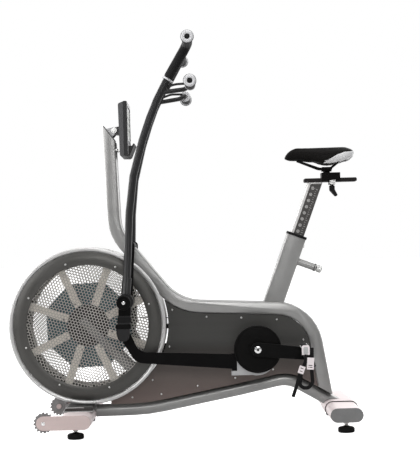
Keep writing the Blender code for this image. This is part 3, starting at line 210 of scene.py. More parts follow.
L = {
    "frame": look("paint_metallic_grey", (0.295, 0.293, 0.288), 0.33, 0.6, 0.0007, 0.05, 0.12, 0.1, 0.04,
                  coat=0.2),
    "stab": look("paint_light_silver", (0.8, 0.7, 0.7), 0.4, 0.15, 0.0007, 0.05, 0.07, 0.08, 0.04, coat=0.15),
    "base": look("paint_dark_grey", (0.028, 0.026, 0.025), 0.42, 0.3, 0.0007, 0.06, 0.12, 0.04, 0.04),
    "hoop": look("paint_silver", (0.54, 0.535, 0.53), 0.3, 0.55, 0.0007, 0.05, 0.08, 0.08, 0.05, coat=0.2),
    "ring": look("brushed_dark", (0.072, 0.07, 0.066), 0.38, 0.6, 0.0012, 0.12, 0.16, 0.02, 0.05,
                 ring=(FAN, 0.03)),
    "cover": cover_look_with_floor_reflection("cover_dark_brushed_floor_reflection"),
    "grille": look("perforated_steel", (0.42, 0.4, 0.375), 0.34, 0.75, 0.0006, 0.06, 0.12, 0.06, 0.06),
    "blade": look("fan_blade", (0.66, 0.62, 0.56), 0.36, 0.55, 0.0009, 0.08, 0.12, 0.03, 0.06),
    "octagon": look("fan_plate_blue", (0.028, 0.076, 0.095), 0.34, 0.45, 0.0009, 0.08, 0.25, 0.05, 0.08,
                    second=(0.046, 0.092, 0.105)),
    "black": look("black_satin", (0.0034, 0.0031, 0.0032), 0.42, 0.0, 0.001, 0.12, 0.25, 0.03, 0.05,
                  specular=0.05),
    "tube": look("black_tube", (0.009, 0.0088, 0.0095), 0.36, 0.0, 0.001, 0.1, 0.25, 0.04, 0.05, specular=0.3),
    "arm": look("black_semi_gloss", (0.0036, 0.0035, 0.0035), 0.34, 0.0, 0.0012, 0.08, 0.25, 0.04, 0.05,
                specular=0.07),
    "disc": look("black_turned", (0.0038, 0.0036, 0.0035), 0.4, 0.0, 0.0011, 0.16, 0.3, 0.01, 0.05,
                 specular=0.06, ring=(CRANK, 0.02)),
    "plastic": look("black_plastic", (0.0068, 0.0067, 0.007), 0.5, 0.0, 0.0008, 0.2, 0.2, 0.03, 0.05,
                    specular=0.12),
    "bezel": look("console_bezel_dark", (0.019, 0.019, 0.0195), 0.48, 0.0, 0.0008, 0.2, 0.12, 0.03, 0.05,
                  specular=0.22),
    "rubber": look("rubber", (0.006, 0.006, 0.006), 0.78, 0.0, 0.0009, 0.3, 0.3, 0.02, 0.06, specular=0.1),
    "belt": look("belt_rubber", (0.014, 0.014, 0.014), 0.66, 0.0, 0.0015, 0.3, 0.25, 0.02, 0.06, specular=0.3),
    "chrome": look("chrome", (0.86, 0.86, 0.86), 0.16, 1.0, 0.001, 0.02, 0.05, 0.02, 0.04),
    "cap_rim": look("cap_satin_chrome", (0.5, 0.5, 0.51), 0.46, 0.4, 0.0008, 0.05, 0.05, 0.02, 0.04),
    "hub": look("hub_dark_cast", (0.022, 0.022, 0.022), 0.46, 0.35, 0.0011, 0.25, 0.2, 0.03, 0.06),
    "stay": look("stay_grey", (0.14, 0.14, 0.14), 0.4, 0.4, 0.0009, 0.1, 0.14, 0.03, 0.05),
    "wheel": look("wheel_grey_rubber", (0.2, 0.195, 0.195), 0.7, 0.0, 0.0009, 0.3, 0.16, 0.02, 0.06, specular=0.3),
    "scale": look("scale_panel", (0.044, 0.041, 0.039), 0.42, 0.3, 0.0009, 0.12, 0.3, 0.01, 0.06),
    "zinc": look("zinc_steel", (0.62, 0.62, 0.61), 0.3, 1.0, 0.0006, 0.08, 0.1, 0.02, 0.06),
    "post": look("post_steel", (0.66, 0.65, 0.64), 0.32, 0.45, 0.0008, 0.06, 0.1, 0.04, 0.06, (1, 1, 0.08)),
    "rail": look("rail_dark", (0.01, 0.008, 0.008), 0.46, 0.0, 0.0008, 0.08, 0.14, 0.03, 0.05, (0.08, 1, 1),
                 specular=0.16),
    "cast": look("cast_aluminium", (0.38, 0.38, 0.385), 0.46, 0.35, 0.0011, 0.25, 0.1, 0.03, 0.06),
    "plate": look("end_plate_silver", (0.54, 0.44, 0.425), 0.4, 0.3, 0.0008, 0.08, 0.07, 0.03, 0.05, (0.1, 1, 1)),
    "cap": look("cap_grey", (0.168, 0.168, 0.168), 0.45, 0.1, 0.0009, 0.15, 0.1, 0.02, 0.05),
    "shell": look("console_grey", (0.05, 0.05, 0.052), 0.46, 0.0, 0.0008, 0.2, 0.07, 0.03, 0.05),
    "face": look("console_face_silver", (0.48, 0.48, 0.485), 0.34, 0.45, 0.0007, 0.06, 0.07, 0.03, 0.05),
    "screen": look("screen_glass", (0.03, 0.034, 0.034), 0.12, 0.0, 0.004, 0.01, 0.15, 0.06, 0.03, coat=0.6),
    "lcd": look("lcd_panel", (0.3, 0.33, 0.28), 0.22, 0.0, 0.0008, 0.05, 0.06, 0.05, 0.04),
    "ink": look("marking_light", (0.42, 0.41, 0.4), 0.45, 0.0, 0.0006, 0.05, 0.08, 0.02, 0.05),
    "key": look("console_key", (0.1, 0.11, 0.12), 0.42, 0.0, 0.0007, 0.12, 0.12, 0.02, 0.05),
    "buckle": look("buckle_white", (0.74, 0.68, 0.69), 0.36, 0.0, 0.0008, 0.08, 0.07, 0.02, 0.05),
    "pedal_plate": look("pedal_plate_grey", (0.42, 0.42, 0.42), 0.4, 0.25, 0.0008, 0.12, 0.1, 0.02, 0.06),
    "webbing": weave_look("strap_webbing", (0.0055, 0.0052, 0.0055), 0.7, 0.0016),
    "foam": cell_look("foam_grip", (0.006, 0.0058, 0.0062), 0.64, 0.0016, 0.4, 0.2, 0.16, 0.04),
    "vinyl": cell_look("saddle_vinyl", (0.0058, 0.0052, 0.0049), 0.55, 0.0022, 0.14, 0.15, 0.05),
    "panel": cell_look("saddle_panel_silver", (0.53, 0.53, 0.535), 0.38, 0.0022, 0.12, 0.07, 0.5),
    "pan": look("saddle_pan", (0.005, 0.005, 0.0052), 0.46, 0.0, 0.001, 0.25, 0.2, 0.03, 0.05, specular=0.2),
    "seam": look("seam_thread", (0.006, 0.0055, 0.0052), 0.6, 0.0, 0.0005, 0.3, 0.2, 0.01, 0.05, specular=0.06),
    "weld": look("weld_bead", (0.31, 0.308, 0.304), 0.42, 0.45, 0.0015, 0.25, 0.12, 0.01, 0.06),
}


# ---------------------------------------------------------------- mesh helpers
def joined(parts):
    """One bmesh from several, which are freed."""
    whole = bmesh.new()
    for bm in parts:
        mesh = bpy.data.meshes.new("part")
        bm.to_mesh(mesh)
        bm.free()
        whole.from_mesh(mesh)
        bpy.data.meshes.remove(mesh)
    return whole


def piece(name, bm, finish, body, stands_for=(), smooth=38, bevel=0.0, segments=2):
    """A shown piece from bm, whose vertices are in the model's frame."""
    bmesh.ops.recalc_face_normals(bm, faces=bm.faces[:])
    mesh = bpy.data.meshes.new(name)
    bm.to_mesh(mesh)
    bm.free()
    mesh.shade_smooth()
    mesh.set_sharp_from_angle(angle=math.radians(smooth))
    obj = bpy.data.objects.new(name, mesh)
    obj.data.materials.append(L[finish])
    bpy.context.scene.collection.objects.link(obj)
    if bevel:
        soften(obj, bevel, segments)
    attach(obj, body)
    if stands_for:
        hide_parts(*stands_for)
    return obj


def soften(obj, width, segments):
    made = obj.modifiers.new("soft_edges", "BEVEL")
    made.width = width
    made.segments = segments
    made.limit_method = "ANGLE"
    made.angle_limit = math.radians(38)
    made.harden_normals = True
    made.use_clamp_overlap = True


def dressed(name, finish, bevel, smooth=38, segments=2):
    """The CAD node's own shape as a clean mesh with smooth shading and softened edges."""
    source = frame["nodes"][name]
    bm = bmesh.new()
    bm.from_mesh(source.data)
    bmesh.ops.remove_doubles(bm, verts=bm.verts[:], dist=0.00002)
    bmesh.ops.dissolve_limit(bm, angle_limit=math.radians(0.6), verts=bm.verts[:], edges=bm.edges[:])
    return piece(f"{name}_look", bm, finish, source["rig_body"], (name,), smooth, bevel, segments)


def circle(cx, cz, r, count=24, turn=0.0):
    angles = (turn + 2 * math.pi * i / count for i in range(count))
    return [(cx + r * math.cos(a), cz + r * math.sin(a)) for a in angles]


def rect(x0, z0, x1, z1, radii=None):
    """Rectangle whose corners are rounded to radii, which go round from the low corner."""
    ring = [(x0, z0), (x1, z0), (x1, z1), (x0, z1)]
    return outline(ring, radii) if radii else ring


def at_angle(at, angle):
    """Turn about Y, then carry the origin to a point."""
    return Matrix.Translation(at) @ Matrix.Rotation(angle, 4, "Y")


def bridge(bm, rings, closed=False):
    """Quads from ring to ring, and a face over each end unless the rings close."""
    pairs = list(zip(rings, rings[1:]))
    if closed:
        pairs.append((rings[-1], rings[0]))
    for a, b in pairs:
        for i in range(len(a)):
            j = (i + 1) % len(a)
            bm.faces.new((a[i], a[j], b[j], b[i]))
    if not closed:
        bm.faces.new(rings[0])
        bm.faces.new(rings[-1])
    return bm


def prism(ring, y0, y1):
    """Ring of (x, z) points drawn out between two values of Y, in either order."""
    y0, y1 = sorted((y0, y1))
    bm = bmesh.new()
    near = [bm.verts.new((x, y0, z)) for x, z in ring]
    far = [bm.verts.new((x, y1, z)) for x, z in ring]
    bm.faces.new(near)
    bm.faces.new(list(reversed(far)))
    for i in range(len(ring)):
        j = (i + 1) % len(ring)
        bm.faces.new((near[j], near[i], far[i], far[j]))
    return bm


def block(low, high):
    return prism(rect(low[0], low[2], high[0], high[2]), low[1], high[1])


def turned(profile, centre, axis=(0, 1, 0), count=48, hollow=False):
    """(radius, along) points turned about an axis through centre."""
    centre = Vector(centre)
    swing = Vector((0, 1, 0)).rotation_difference(Vector(axis).normalized()).to_matrix()
    bm = bmesh.new()
    rings = []
    for radius, along in profile:
        if radius <= 1e-9:
            rings.append([bm.verts.new(centre + swing @ Vector((0, along, 0)))])
        else:
            rings.append([bm.verts.new(centre + swing @ Vector((x, along, z)))
                          for x, z in circle(0, 0, radius, count)])
    pairs = list(zip(rings, rings[1:]))
    if hollow:
        pairs.append((rings[-1], rings[0]))
    for a, b in pairs:
        for i in range(count):
            j = (i + 1) % count
            if len(a) == 1:
                bm.faces.new((a[0], b[i], b[j]))
            elif len(b) == 1:
                bm.faces.new((a[i], a[j], b[0]))
            else:
                bm.faces.new((a[i], a[j], b[j], b[i]))
    if not hollow:
        for ring in (rings[0], rings[-1]):
            if len(ring) > 1:
                bm.faces.new(ring)
    return bm


def rounded(points, radii, step=math.radians(5)):
    """The polyline through points with its inner corners rounded to radii."""
    points = [Vector(p) for p in points]
    path = [points[0]]
    for before, corner, after, radius in zip(points, points[1:], points[2:], radii):
        towards = (before - corner).normalized()
        onward = (after - corner).normalized()
        turn = math.pi - towards.angle(onward)
        if radius <= 0 or turn < 1e-4:
            path.append(corner)
            continue
        reach = radius * math.tan(turn / 2)
        centre = corner + (towards + onward).normalized() * (radius / math.cos(turn / 2))
        start = corner + towards * reach - centre
        axis = start.cross(corner + onward * reach - centre).normalized()
        count = max(2, math.ceil(turn / step))
        for i in range(count + 1):
            path.append(centre + Matrix.Rotation(turn * i / count, 3, axis) @ start)
    path.append(points[-1])
    return path


def outline(points, radii):
    ring = [(x, 0, z) for x, z in points]
    closed = [ring[-1], *ring, ring[0]]
    return [(p.x, p.z) for p in rounded(closed, radii, math.radians(10))[1:-1]]


def section_box(deep, wide, corner, per_corner=4):
    ring = []
    for sx, sy, start in ((1, 1, 0), (-1, 1, 90), (-1, -1, 180), (1, -1, 270)):
        for i in range(per_corner):
            a = math.radians(start + 90 * i / (per_corner - 1))
            x = sx * (deep / 2 - corner) + corner * math.cos(a)
            ring.append((x, sy * (wide / 2 - corner) + corner * math.sin(a)))
    return ring


def swept(path, section, side=(0, 1, 0), closed=False):
    """section (across, along side) carried along path; a function gives one section for each point."""
    path = [Vector(p) for p in path]
    side = Vector(side)
    bm = bmesh.new()
    rings = []
    last = len(path) - 1
    for i, point in enumerate(path):
        before = path[i - 1] if i or closed else point
        after = path[(i + 1) % len(path)] if i < last or closed else point
        tangent = (after - before).normalized()
        side = (side - tangent * side.dot(tangent)).normalized()
        across = side.cross(tangent)
        shape = section(i / last) if callable(section) else section
        rings.append([bm.verts.new(point + across * u + side * v) for u, v in shape])
    return bridge(bm, rings, closed)


def moved(bm, matrix):
    bmesh.ops.transform(bm, matrix=matrix, verts=bm.verts[:])
    return bm


def screw(at, axis, r):
    """Domed socket screw head standing on the surface at a point."""
    profile = [(0.0, r * 0.25), (r * 0.4, r * 0.25), (r * 0.45, r * 0.78), (r * 0.7, r * 0.7),
               (r * 0.92, r * 0.42), (r, r * 0.1), (r, -0.0004), (0.0, -0.0004)]
    return turned(profile, at, axis, 16)


def hex_bolt(at, axis, across, high, washer=0.0):
    """Hex head with a chamfered top, on a washer if it has one."""
    r = across / math.sqrt(3)
    base = 0.0012 if washer else 0.0
    parts = [turned([(0.0, base + high), (r * 0.82, base + high), (r, base + high * 0.82), (r, base - 0.0003),
                     (0.0, base - 0.0003)], at, axis, 6)]
    if washer:
        parts.append(turned([(0.0, base), (washer - 0.0004, base), (washer, base - 0.0004), (washer, -0.0003),
                             (0.0, -0.0003)], at, axis, 28))
    return joined(parts)


def cap_bolt(at, axis, r, high, socket=0.45):
    """Round cap head with a round recess."""
    profile = [(0.0, high * 0.35), (r * socket, high * 0.35), (r * socket, high), (r * 0.86, high),
               (r, high * 0.82), (r, -0.0003), (0.0, -0.0003)]
    return turned(profile, at, axis, 24)


def weld(path, r, closed=True):
    """A rippled weld bead along a path."""
    points = []
    path = [Vector(p) for p in path]
    ends = path + [path[0]] if closed else path
    for a, b in zip(ends, ends[1:]):
        count = max(1, round((b - a).length / 0.0022))
        points += [a.lerp(b, i / count) for i in range(count)]

    def section(share):
        return circle(0, 0, r * (1 + 0.16 * math.sin(share * len(points) * 1.9)), 8)

    return swept(points, section, (0.37, 0.61, 0.7), closed)


# ---------------------------------------------------------------- fan drum
def make_drum():
    """Rolled hoop with a beaded rim on each side, its inner wall dark with painted shade, and the guards in its
    openings.
    """
    profile = []
    for sign in (-1, 1):
        rim = [(0.26, 0.018), (0.269, 0.015), (0.2745, 0.0115), (DRUM_R - 0.0004, 0.0085), (DRUM_R, 0.0055),
               (DRUM_R - 0.0008, 0.0026), (DRUM_R - 0.003, 0.0007), (DRUM_R - 0.006, 0.0),
               (DRUM_R - 0.0095, 0.001), (GUARD_R + 0.0024, 0.0045), (GUARD_R + 0.0012, 0.007),
               (GUARD_R + 0.0008, 0.01), (0.2578, 0.0135)]
        rim = [(r, sign * (DRUM_HALF - inset)) for r, inset in rim]
        profile += list(reversed(rim)) if sign < 0 else rim
    bm = turned(profile, FAN, count=160, hollow=True)
    hoop = piece("fan_hoop_look", bm, "hoop", "root", ("fan_hoop",), 50)
    # painted shade: the hoop's inner wall takes the dark hub finish, though the drum is the same silver inside
    hoop.data.materials.append(L["hub"])
    for face in hoop.data.polygons:
        in_painted_shade = math.hypot(face.center.x - FAN.x, face.center.z - FAN.z) < HOOP_SHADE_RADIUS
        face.material_index = 1 if in_painted_shade and abs(face.normal.y) < 0.1 else 0
    for side, sign in SIDES:
        make_guard(side, sign)


def make_guard(side, sign):
    """Brushed ring with its screws, and the perforated grille behind it."""
    front = DRUM_HALF - 0.002
    profile = [(GUARD_R, 0.003), (GUARD_R, 0.0006), (GUARD_R - 0.0006, 0.0), (WINDOW_R + 0.0011, 0.0),
               (WINDOW_R + 0.0003, 0.0004), (WINDOW_R, 0.0011), (WINDOW_R, 0.003)]
    bm = turned([(r, sign * (front - inset)) for r, inset in profile], FAN, count=160, hollow=True)
    piece(f"guard_ring_{side}", bm, "ring", "root", (f"fan_guard_{side}",), 50)
    sheet = perforated(*sorted((sign * (front - 0.0042), sign * (front - 0.0031))))
    piece(f"guard_grille_{side}", sheet, "grille", "root")
    heads = [screw((x, sign * front, z), (0, sign, 0), 0.0038)
             for x, z in circle(FAN.x, FAN.z, 0.2303, 8, math.radians(18.3))]
    piece(f"guard_screws_{side}", joined(heads), "zinc", "root")


HOLE_PITCH, HOLE_R, HOLE_TILT = 0.011, 0.0046, math.radians(15)
HOLES_END, SHEET_END = 0.218, 0.2262    # cells beyond the first radius are whole, beyond the second left out


def perforated(y0, y1):
    """Round holes in staggered rows, cut from a round sheet that reaches under the ring."""
    tilt, pitch = HOLE_TILT, HOLE_PITCH
    axes = ((math.cos(tilt), -math.sin(tilt)), (math.sin(tilt), math.cos(tilt)))
    corner_r = pitch / math.sqrt(3)
    bm = bmesh.new()
    corners = {}

    def vert(x, z, y):
        key = (round(x, 5), round(z, 5), y)
        if key not in corners:
            corners[key] = bm.verts.new((FAN.x + x, y, FAN.z + z))
        return corners[key]

    reach = int(0.24 / pitch) + 2
    for row in range(-reach, reach + 1):
        for col in range(-reach, reach + 1):
            u = (col + 0.5 * (row % 2)) * pitch
            v = row * pitch * math.sqrt(3) / 2
            x = u * axes[0][0] + v * axes[1][0]
            z = u * axes[0][1] + v * axes[1][1]
            r = math.hypot(x, z)
            if r > SHEET_END:
                continue
            rim = [(x + corner_r * math.cos(math.radians(a) - tilt), z + corner_r * math.sin(math.radians(a) - tilt))
                   for a in range(30, 390, 60)]
            if r > HOLES_END:
                for y, ring in ((y0, rim), (y1, rim[::-1])):
                    bm.faces.new([vert(p, q, y) for p, q in ring])
                continue
            holes = [(x + HOLE_R * math.cos(math.radians(a) - tilt), z + HOLE_R * math.sin(math.radians(a) - tilt))
                     for a in range(0, 360, 30)]
            walls = {y: [bm.verts.new((FAN.x + p, y, FAN.z + q)) for p, q in holes] for y in (y0, y1)}
            for k in range(6):
                a, b = rim[k], rim[(k + 1) % 6]
                inner = [(2 * k + 3) % 12, (2 * k + 2) % 12, (2 * k + 1) % 12]
                for y in (y0, y1):
                    bm.faces.new([vert(*a, y), vert(*b, y)] + [walls[y][i] for i in inner])
            for i in range(12):
                j = (i + 1) % 12
                bm.faces.new((walls[y0][i], walls[y0][j], walls[y1][j], walls[y1][i]))
    for edge in [e for e in bm.edges if len(e.link_faces) == 1 and abs(e.verts[0].co.y - y0) < 1e-6]:
        a, b = edge.verts
        pair = []
        for v in (b, a):
            key = (round(v.co.x - FAN.x, 5), round(v.co.z - FAN.z, 5), y1)
            pair.append(corners.get(key))
        if None not in pair:
            bm.faces.new((a, b, *pair))
    return bm


def make_fan():
    """Octagonal plate, eight flanged arms on its left face, hub, axle and belt."""
    ring = circle(FAN.x, FAN.z, 0.15 / math.cos(math.pi / 8), 8, math.radians(25))
    piece("fan_plate", prism(ring, -0.028, -0.0258), "octagon", "fan", ("fan_wheel",), bevel=0.0004)
    arms, rivets = [], []
    for i in range(8):
        turn = at_angle(FAN, -math.radians(25 + 45 * i))
        flange = rect(0.0755, -0.0135, 0.2535, 0.0135, (0.002, 0.0125, 0.0125, 0.002))
        arms += [moved(part, turn) for part in (
            prism(flange, -0.066, -0.064), block((0.0775, -0.0645, -0.0012), (0.25, -0.0282, 0.0012)),
            block((0.076, -0.0645, -0.009), (0.0778, -0.03, 0.009)))]
        for x, z in ((0.088, 0.0075), (0.238, 0.0)):
            rivets.append(moved(screw((x, -0.066, z), (0, -1, 0), 0.0034), turn))
    piece("fan_arms", joined(arms), "blade", "fan", bevel=0.0005)
    piece("fan_rivets", joined(rivets), "stay", "fan")
    dressed("fan_hub", "hub", 0.0009)
    bolts = [hex_bolt((x, -0.0625, z), (0, -1, 0), 0.008, 0.003, 0.0062)
             for x, z in circle(FAN.x, FAN.z, 0.05, 6, math.radians(12))]
    piece("fan_hub_bolts", joined(bolts), "hub", "fan")
    dressed("fan_axle", "stay", 0.0006)
    dressed("drive_belt", "belt", 0.0006)


# ---------------------------------------------------------------- frame
COVER_SCREWS = ((-0.048, 0.424), (0.074, 0.396), (0.198, 0.39), (0.325, 0.38), (0.418, 0.306), (0.36, 0.243),
                (0.307, 0.202), (0.171, 0.175), (0.036, 0.15), (-0.094, 0.124), (-0.198, 0.115),
                (-0.124, 0.175), (-0.061, 0.293))
COVER_FACE = 0.0316


def make_frame():
    for name, finish, bevel, smooth in (
            ("console_mast", "frame", 0.0006, 42), ("frame_spine", "frame", 0.0006, 42),
            ("lower_tube", "frame", 0.0008, 40), ("front_base_bracket", "base", 0.0008, 40),
            ("front_stabilizer", "stab", 0.0008, 40), ("rear_stabilizer", "stab", 0.0008, 40),
            ("seat_tube", "frame", 0.0006, 42)):
        dressed(name, finish, bevel, smooth)
    dressed("seat_sleeve", "plastic", 0.0008)
    bracket = dressed("rear_saddle_bracket", "stab", 0.0005)
    bracket.data.materials.append(L["black"])
    for face in bracket.data.polygons:
        face.material_index = 1 if abs(face.normal.y) > 0.7 else 0
    dressed("bottom_bracket", "frame", 0.0006)
    for side, sign in SIDES:
        dressed(f"side_cover_{side}", "cover", 0.0003)
        heads = [screw((x, sign * COVER_FACE, z), (0, sign, 0), 0.0037) for x, z in COVER_SCREWS]
        piece(f"cover_screws_{side}", joined(heads), "zinc", "root")
        tab = prism(rect(-0.072, 0.358, -0.056, 0.372, (0.002,) * 4), sign * 0.0285, sign * 0.0255)
        piece(f"cover_tab_{side}", tab, "black", "root", bevel=0.0004)
    make_frame_welds()
    make_ends()


def make_frame_welds():
    """Beads where the seat tube and the drum bracket meet the frame."""
    s, c = math.sin(SEAT_LEAN), math.cos(SEAT_LEAN)
    level, slope, start = 0.441, 0.0477, 0.3178        # the spine's top: height at X = start
    foot = []
    for across, y in section_box(0.071, 0.044, 0.007):
        drop = (SEAT_TOP.z - across * s - level) / (c - slope * s)
        x = SEAT_TOP.x + across * c - drop * s
        foot.append((x, y, level + slope * (start - x) + 0.0005))
    beads = [weld(foot, 0.0024)]
    low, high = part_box("front_base_bracket")
    top = high.z - 0.0006
    y0, y1 = low.y + 0.0005, high.y - 0.0005
    beads.append(weld([(-0.36, y0, top), (-0.422, y0, top), (-0.422, y1, top), (-0.36, y1, top)], 0.002, False))
    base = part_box("front_stabilizer")[1].z + 0.0004
    beads.append(weld([(x, y, base) for x, y in rect(low.x, low.y, high.x, high.y)], 0.0022))
    beads.append(weld([(high.x + 0.0008, y, z) for y, z in circle(0, 0.069, 0.0228)], 0.002))
    piece("frame_welds", joined(beads), "weld", "root", smooth=60)


def make_ends():
    """End plates and caps of the stabilizers, transport wheels and feet."""
    for side, sign in SIDES:
        wheel = middle(f"transport_wheel_{side}")
        dressed(f"front_end_plate_{side}", "plate", 0.0009)
        bolt = cap_bolt((wheel.x, sign * 0.251, wheel.z), (0, sign, 0), 0.0066, 0.0024)
        piece(f"wheel_bolt_{side}", bolt, "chrome", "root", bevel=0.0003)
        dressed(f"rear_end_cap_{side}", "cap", 0.0014, 38, 3)
        dressed(f"transport_wheel_{side}", "wheel", 0.0008)
        profile = [(0.0068, -0.0004), (0.0068, 0.001), (0.0195, 0.001), (0.0205, 0.0004), (0.0205, -0.0004)]
        hub = [turned(profile, (wheel.x, wheel.y + face * 0.0145, wheel.z), (0, face, 0), 40, True)
               for face in (-1, 1)]
        piece(f"wheel_hub_{side}", joined(hub), "wheel", f"wheel_{side}")
        for end in ("front", "rear"):
            make_foot(end, side)


def make_foot(end, side):
    """Rubber pad, and a threaded stud with its nut under the stabilizer."""
    name = f"foot_{end}_{side}"
    centre, top = middle(name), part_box(name)[1].z
    at, up = (centre.x, centre.y, 0.0), (0, 0, 1)
    pad = [(0.0, 0.0), (0.0245, 0.0), (0.0262, 0.0006), (0.0278, 0.0022), (0.0285, 0.005), (0.0285, 0.0125),
           (0.0276, 0.015), (0.0255, 0.0172), (0.0225, 0.0186), (0.015, 0.02), (0.011, 0.021),
           (0.01, 0.0222), (0.0, 0.0222)]
    piece(f"{name}_pad", turned(pad, at, up, 48), "rubber", name, (name,), 50)
    stud, pitch = [(0.0, 0.0215)], 0.0015
    for i in range(int((top - 0.0235) / pitch)):
        z = 0.023 + i * pitch
        stud += [(0.0054, z), (0.006, z + pitch / 2)]
    stud += [(0.0054, top - 0.0005), (0.0, top - 0.0005)]
    nut = hex_bolt((0, 0, 0), up, 0.0165, 0.005)
    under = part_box(f"{end}_stabilizer")[0].z - 0.0066
    parts = [turned(stud, at, up, 24), moved(nut, Matrix.Translation((centre.x, centre.y, under)))]
    piece(f"{name}_stud", joined(parts), "zinc", name, smooth=60)


# ---------------------------------------------------------------- drive
def make_drive():
    dressed("crank_axle", "zinc", 0.0012)
    dressed("crank_pulley", "cast", 0.0006)
    profile = [(0.0125, 0.151), (0.03, 0.1512), (0.0304, 0.1505), (0.033, 0.1505), (0.0334, 0.1512),
               (0.07, 0.1506), (0.0745, 0.15), (0.075, 0.1492), (0.0775, 0.1492), (0.0782, 0.15),
               (0.0815, 0.1494), (0.0828, 0.1484), (0.083, 0.147), (0.083, 0.143), (0.0826, 0.1425),
               (0.08, 0.1425), (0.079, 0.1465), (0.0125, 0.147)]
    lead, throw = 0.003, 0.026          # the eccentric's offset along X, and its distance from the axis
    for side, sign in SIDES:
        disc = turned([(r, sign * y) for r, y in profile], (CRANK.x, 0, CRANK.z), count=128, hollow=True)
        rim = circle(CRANK.x + sign * lead, CRANK.z + sign * math.sqrt(throw**2 - lead**2), 0.048, 64)
        journal = prism(rim, sign * 0.1405, sign * 0.1475)
        piece(f"crank_disc_{side}_look", joined([disc, journal]), "disc", "crank",
              (f"crank_disc_{side}",), 50)
        dressed(f"crank_arm_{side}", "arm", 0.0022, 38, 3)
        at = (CRANK.x, sign * 0.1685, CRANK.z)
        piece(f"crank_bolt_{side}", cap_bolt(at, (0, sign, 0), 0.0122, 0.0042, 0.4), "chrome", "crank",
              bevel=0.0004)
        socket = turned([(0.0, 0.0019), (0.0049, 0.0019), (0.0049, 0.0012), (0.0, 0.0012)], at, (0, sign, 0), 6)
        piece(f"crank_socket_{side}", socket, "hub", "crank")
        make_pedal(side, sign)
        make_rod(side, sign)


def make_rod(side, sign):
    dressed(f"connecting_rod_{side}", "black", 0.0018, 38, 3)
    dressed(f"rod_strap_{side}", "cast", 0.0009)
    low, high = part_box(f"connecting_rod_{side}")
    at = (low.x + 0.0185, sign * 0.1372, high.z - 0.0185)
    nut = hex_bolt(at, (0, sign, 0), 0.01, 0.0045, 0.0085)
    piece(f"rod_nut_{side}", nut, "arm", f"rod_{side}", bevel=0.0003)


WEB_THICK = 0.0016


def strap(points, radii, wide, y):
    """Flat webbing that follows (x, z) points, its broad side facing along Y."""
    path = rounded([(x, y, z) for x, z in points], radii, math.radians(5))
    return swept(path, section_box(wide, WEB_THICK, WEB_THICK * 0.45, 3))


def slotted(wide, high, slots, faces):
    """Buckle plate centred on the origin between two faces, with level slots at the given heights."""
    y0, y1 = sorted(faces)
    x0, x1, edge, slot = -wide / 2, wide / 2, 0.005, 0.0026
    levels = [-high / 2, *sorted(z + d for z in slots for d in (-slot / 2, slot / 2)), high / 2]
    bars = [block((x0 + 0.0004, y0 + 0.0001, z0), (x1 - 0.0004, y1 - 0.0001, z1))
            for z0, z1 in zip(levels[::2], levels[1::2])]
    ends = [block((a, y0, -high / 2 + 0.0004), (b, y1, high / 2 - 0.0004))
            for a, b in ((x0, x0 + edge), (x1 - edge, x1))]
    return joined(bars + ends)


PEDAL_LEAN = math.radians(110)


def make_pedal(side, sign):
    """Body with its pins, and on its outer end a pale plate, its inset and a dark lug."""
    name = f"pedal_{side}"
    centre = middle(name)
    dressed(name, "plastic", 0.0009)
    x, z = centre.x, centre.z
    out = sign * 0.2862
    for part, ends, corners, radii, finish, slot, bevel in (
            ("plate", (out, out + sign * 0.0025), (-0.024, 0.006, 0.0025, 0.0385), (0.002, 0.002, 0.007, 0.007),
             "buckle", "light_metal", 0.0007),
            ("inset", (out + sign * 0.002, out + sign * 0.0036), (-0.0185, 0.01, -0.003, 0.033),
             (0.002, 0.002, 0.005, 0.005), "pedal_plate", "light_metal", 0.0005),
            ("lug", (sign * 0.28, out + sign * 0.0015), (0.0032, -0.004, 0.016, 0.03), (0.003,) * 4,
             "plastic", "black_plastic", 0.0008)):
        ring = rect(x + corners[0], z + corners[1], x + corners[2], z + corners[3], radii)
        piece(f"pedal_{part}_{side}", prism(ring, *ends), finish, name, bevel=bevel)
    turn = at_angle((x, 0, z), -PEDAL_LEAN)
    pins = [moved(screw((dx, centre.y + dy, up * 0.0108), (0, 0, up), 0.002), turn)
            for dx in (-0.035, -0.018, 0.018, 0.035) for dy in (-0.036, -0.012, 0.012, 0.036) for up in (-1, 1)]
    piece(f"pedal_pins_{side}", joined(pins), "zinc", name)
    make_straps(side, sign, x, z)


def make_straps(side, sign, x, z):
    """Toe straps: the web that hangs below the pedal, two buckles, and the loose end."""
    y, body = sign * 0.289, f"pedal_{side}"
    webs = []
    for route, radii, wide, lift in (
            (((0.006, 0.006), (0.0075, -0.05), (0.01, -0.088), (-0.005, -0.1045), (-0.02, -0.1045),
              (-0.034, -0.096), (-0.027, -0.045)), (0.08, 0.02, 0.012, 0.01, 0.012), 0.0125, 0.0),
            (((-0.024, -0.034), (-0.034, -0.058), (-0.043, -0.092), (-0.058, -0.134)), (0.06, 0.06), 0.012,
             0.0022),
            (((-0.01, 0.008), (-0.012, -0.016), (-0.022, -0.036)), (0.05,), 0.012, 0.0003)):
        webs.append(strap([(x + dx, z + dz) for dx, dz in route], radii, wide, y + sign * lift))
    piece(f"toe_strap_{side}", joined(webs), "webbing", body)
    for part, at, lean, faces, size, slots, bevel in (
            ("buckle", (0.004, -0.023), 4, (0.2903, 0.2937), (0.0235, 0.04), (-0.006, -0.0125), 0.0005),
            ("slide", (-0.027, -0.043), 20, (0.2918, 0.295), (0.02, 0.026), (0.005, -0.005), 0.0004)):
        plate = slotted(*size, slots, [sign * face for face in faces])
        turn = at_angle((x + at[0], 0, z + at[1]), math.radians(lean))
        piece(f"strap_{part}_{side}", moved(plate, turn), "buckle", body, bevel=bevel)


# ---------------------------------------------------------------- handles
LEVER_Y, GRIP_R, CAP_R = 0.168, 0.0175, 0.0218
UPPER_END = (0.0328, 1.353)        # (x, z) of the upper grip's axis
LOWER_GRIP = (0.0378, 1.205)       # and of the lower one's


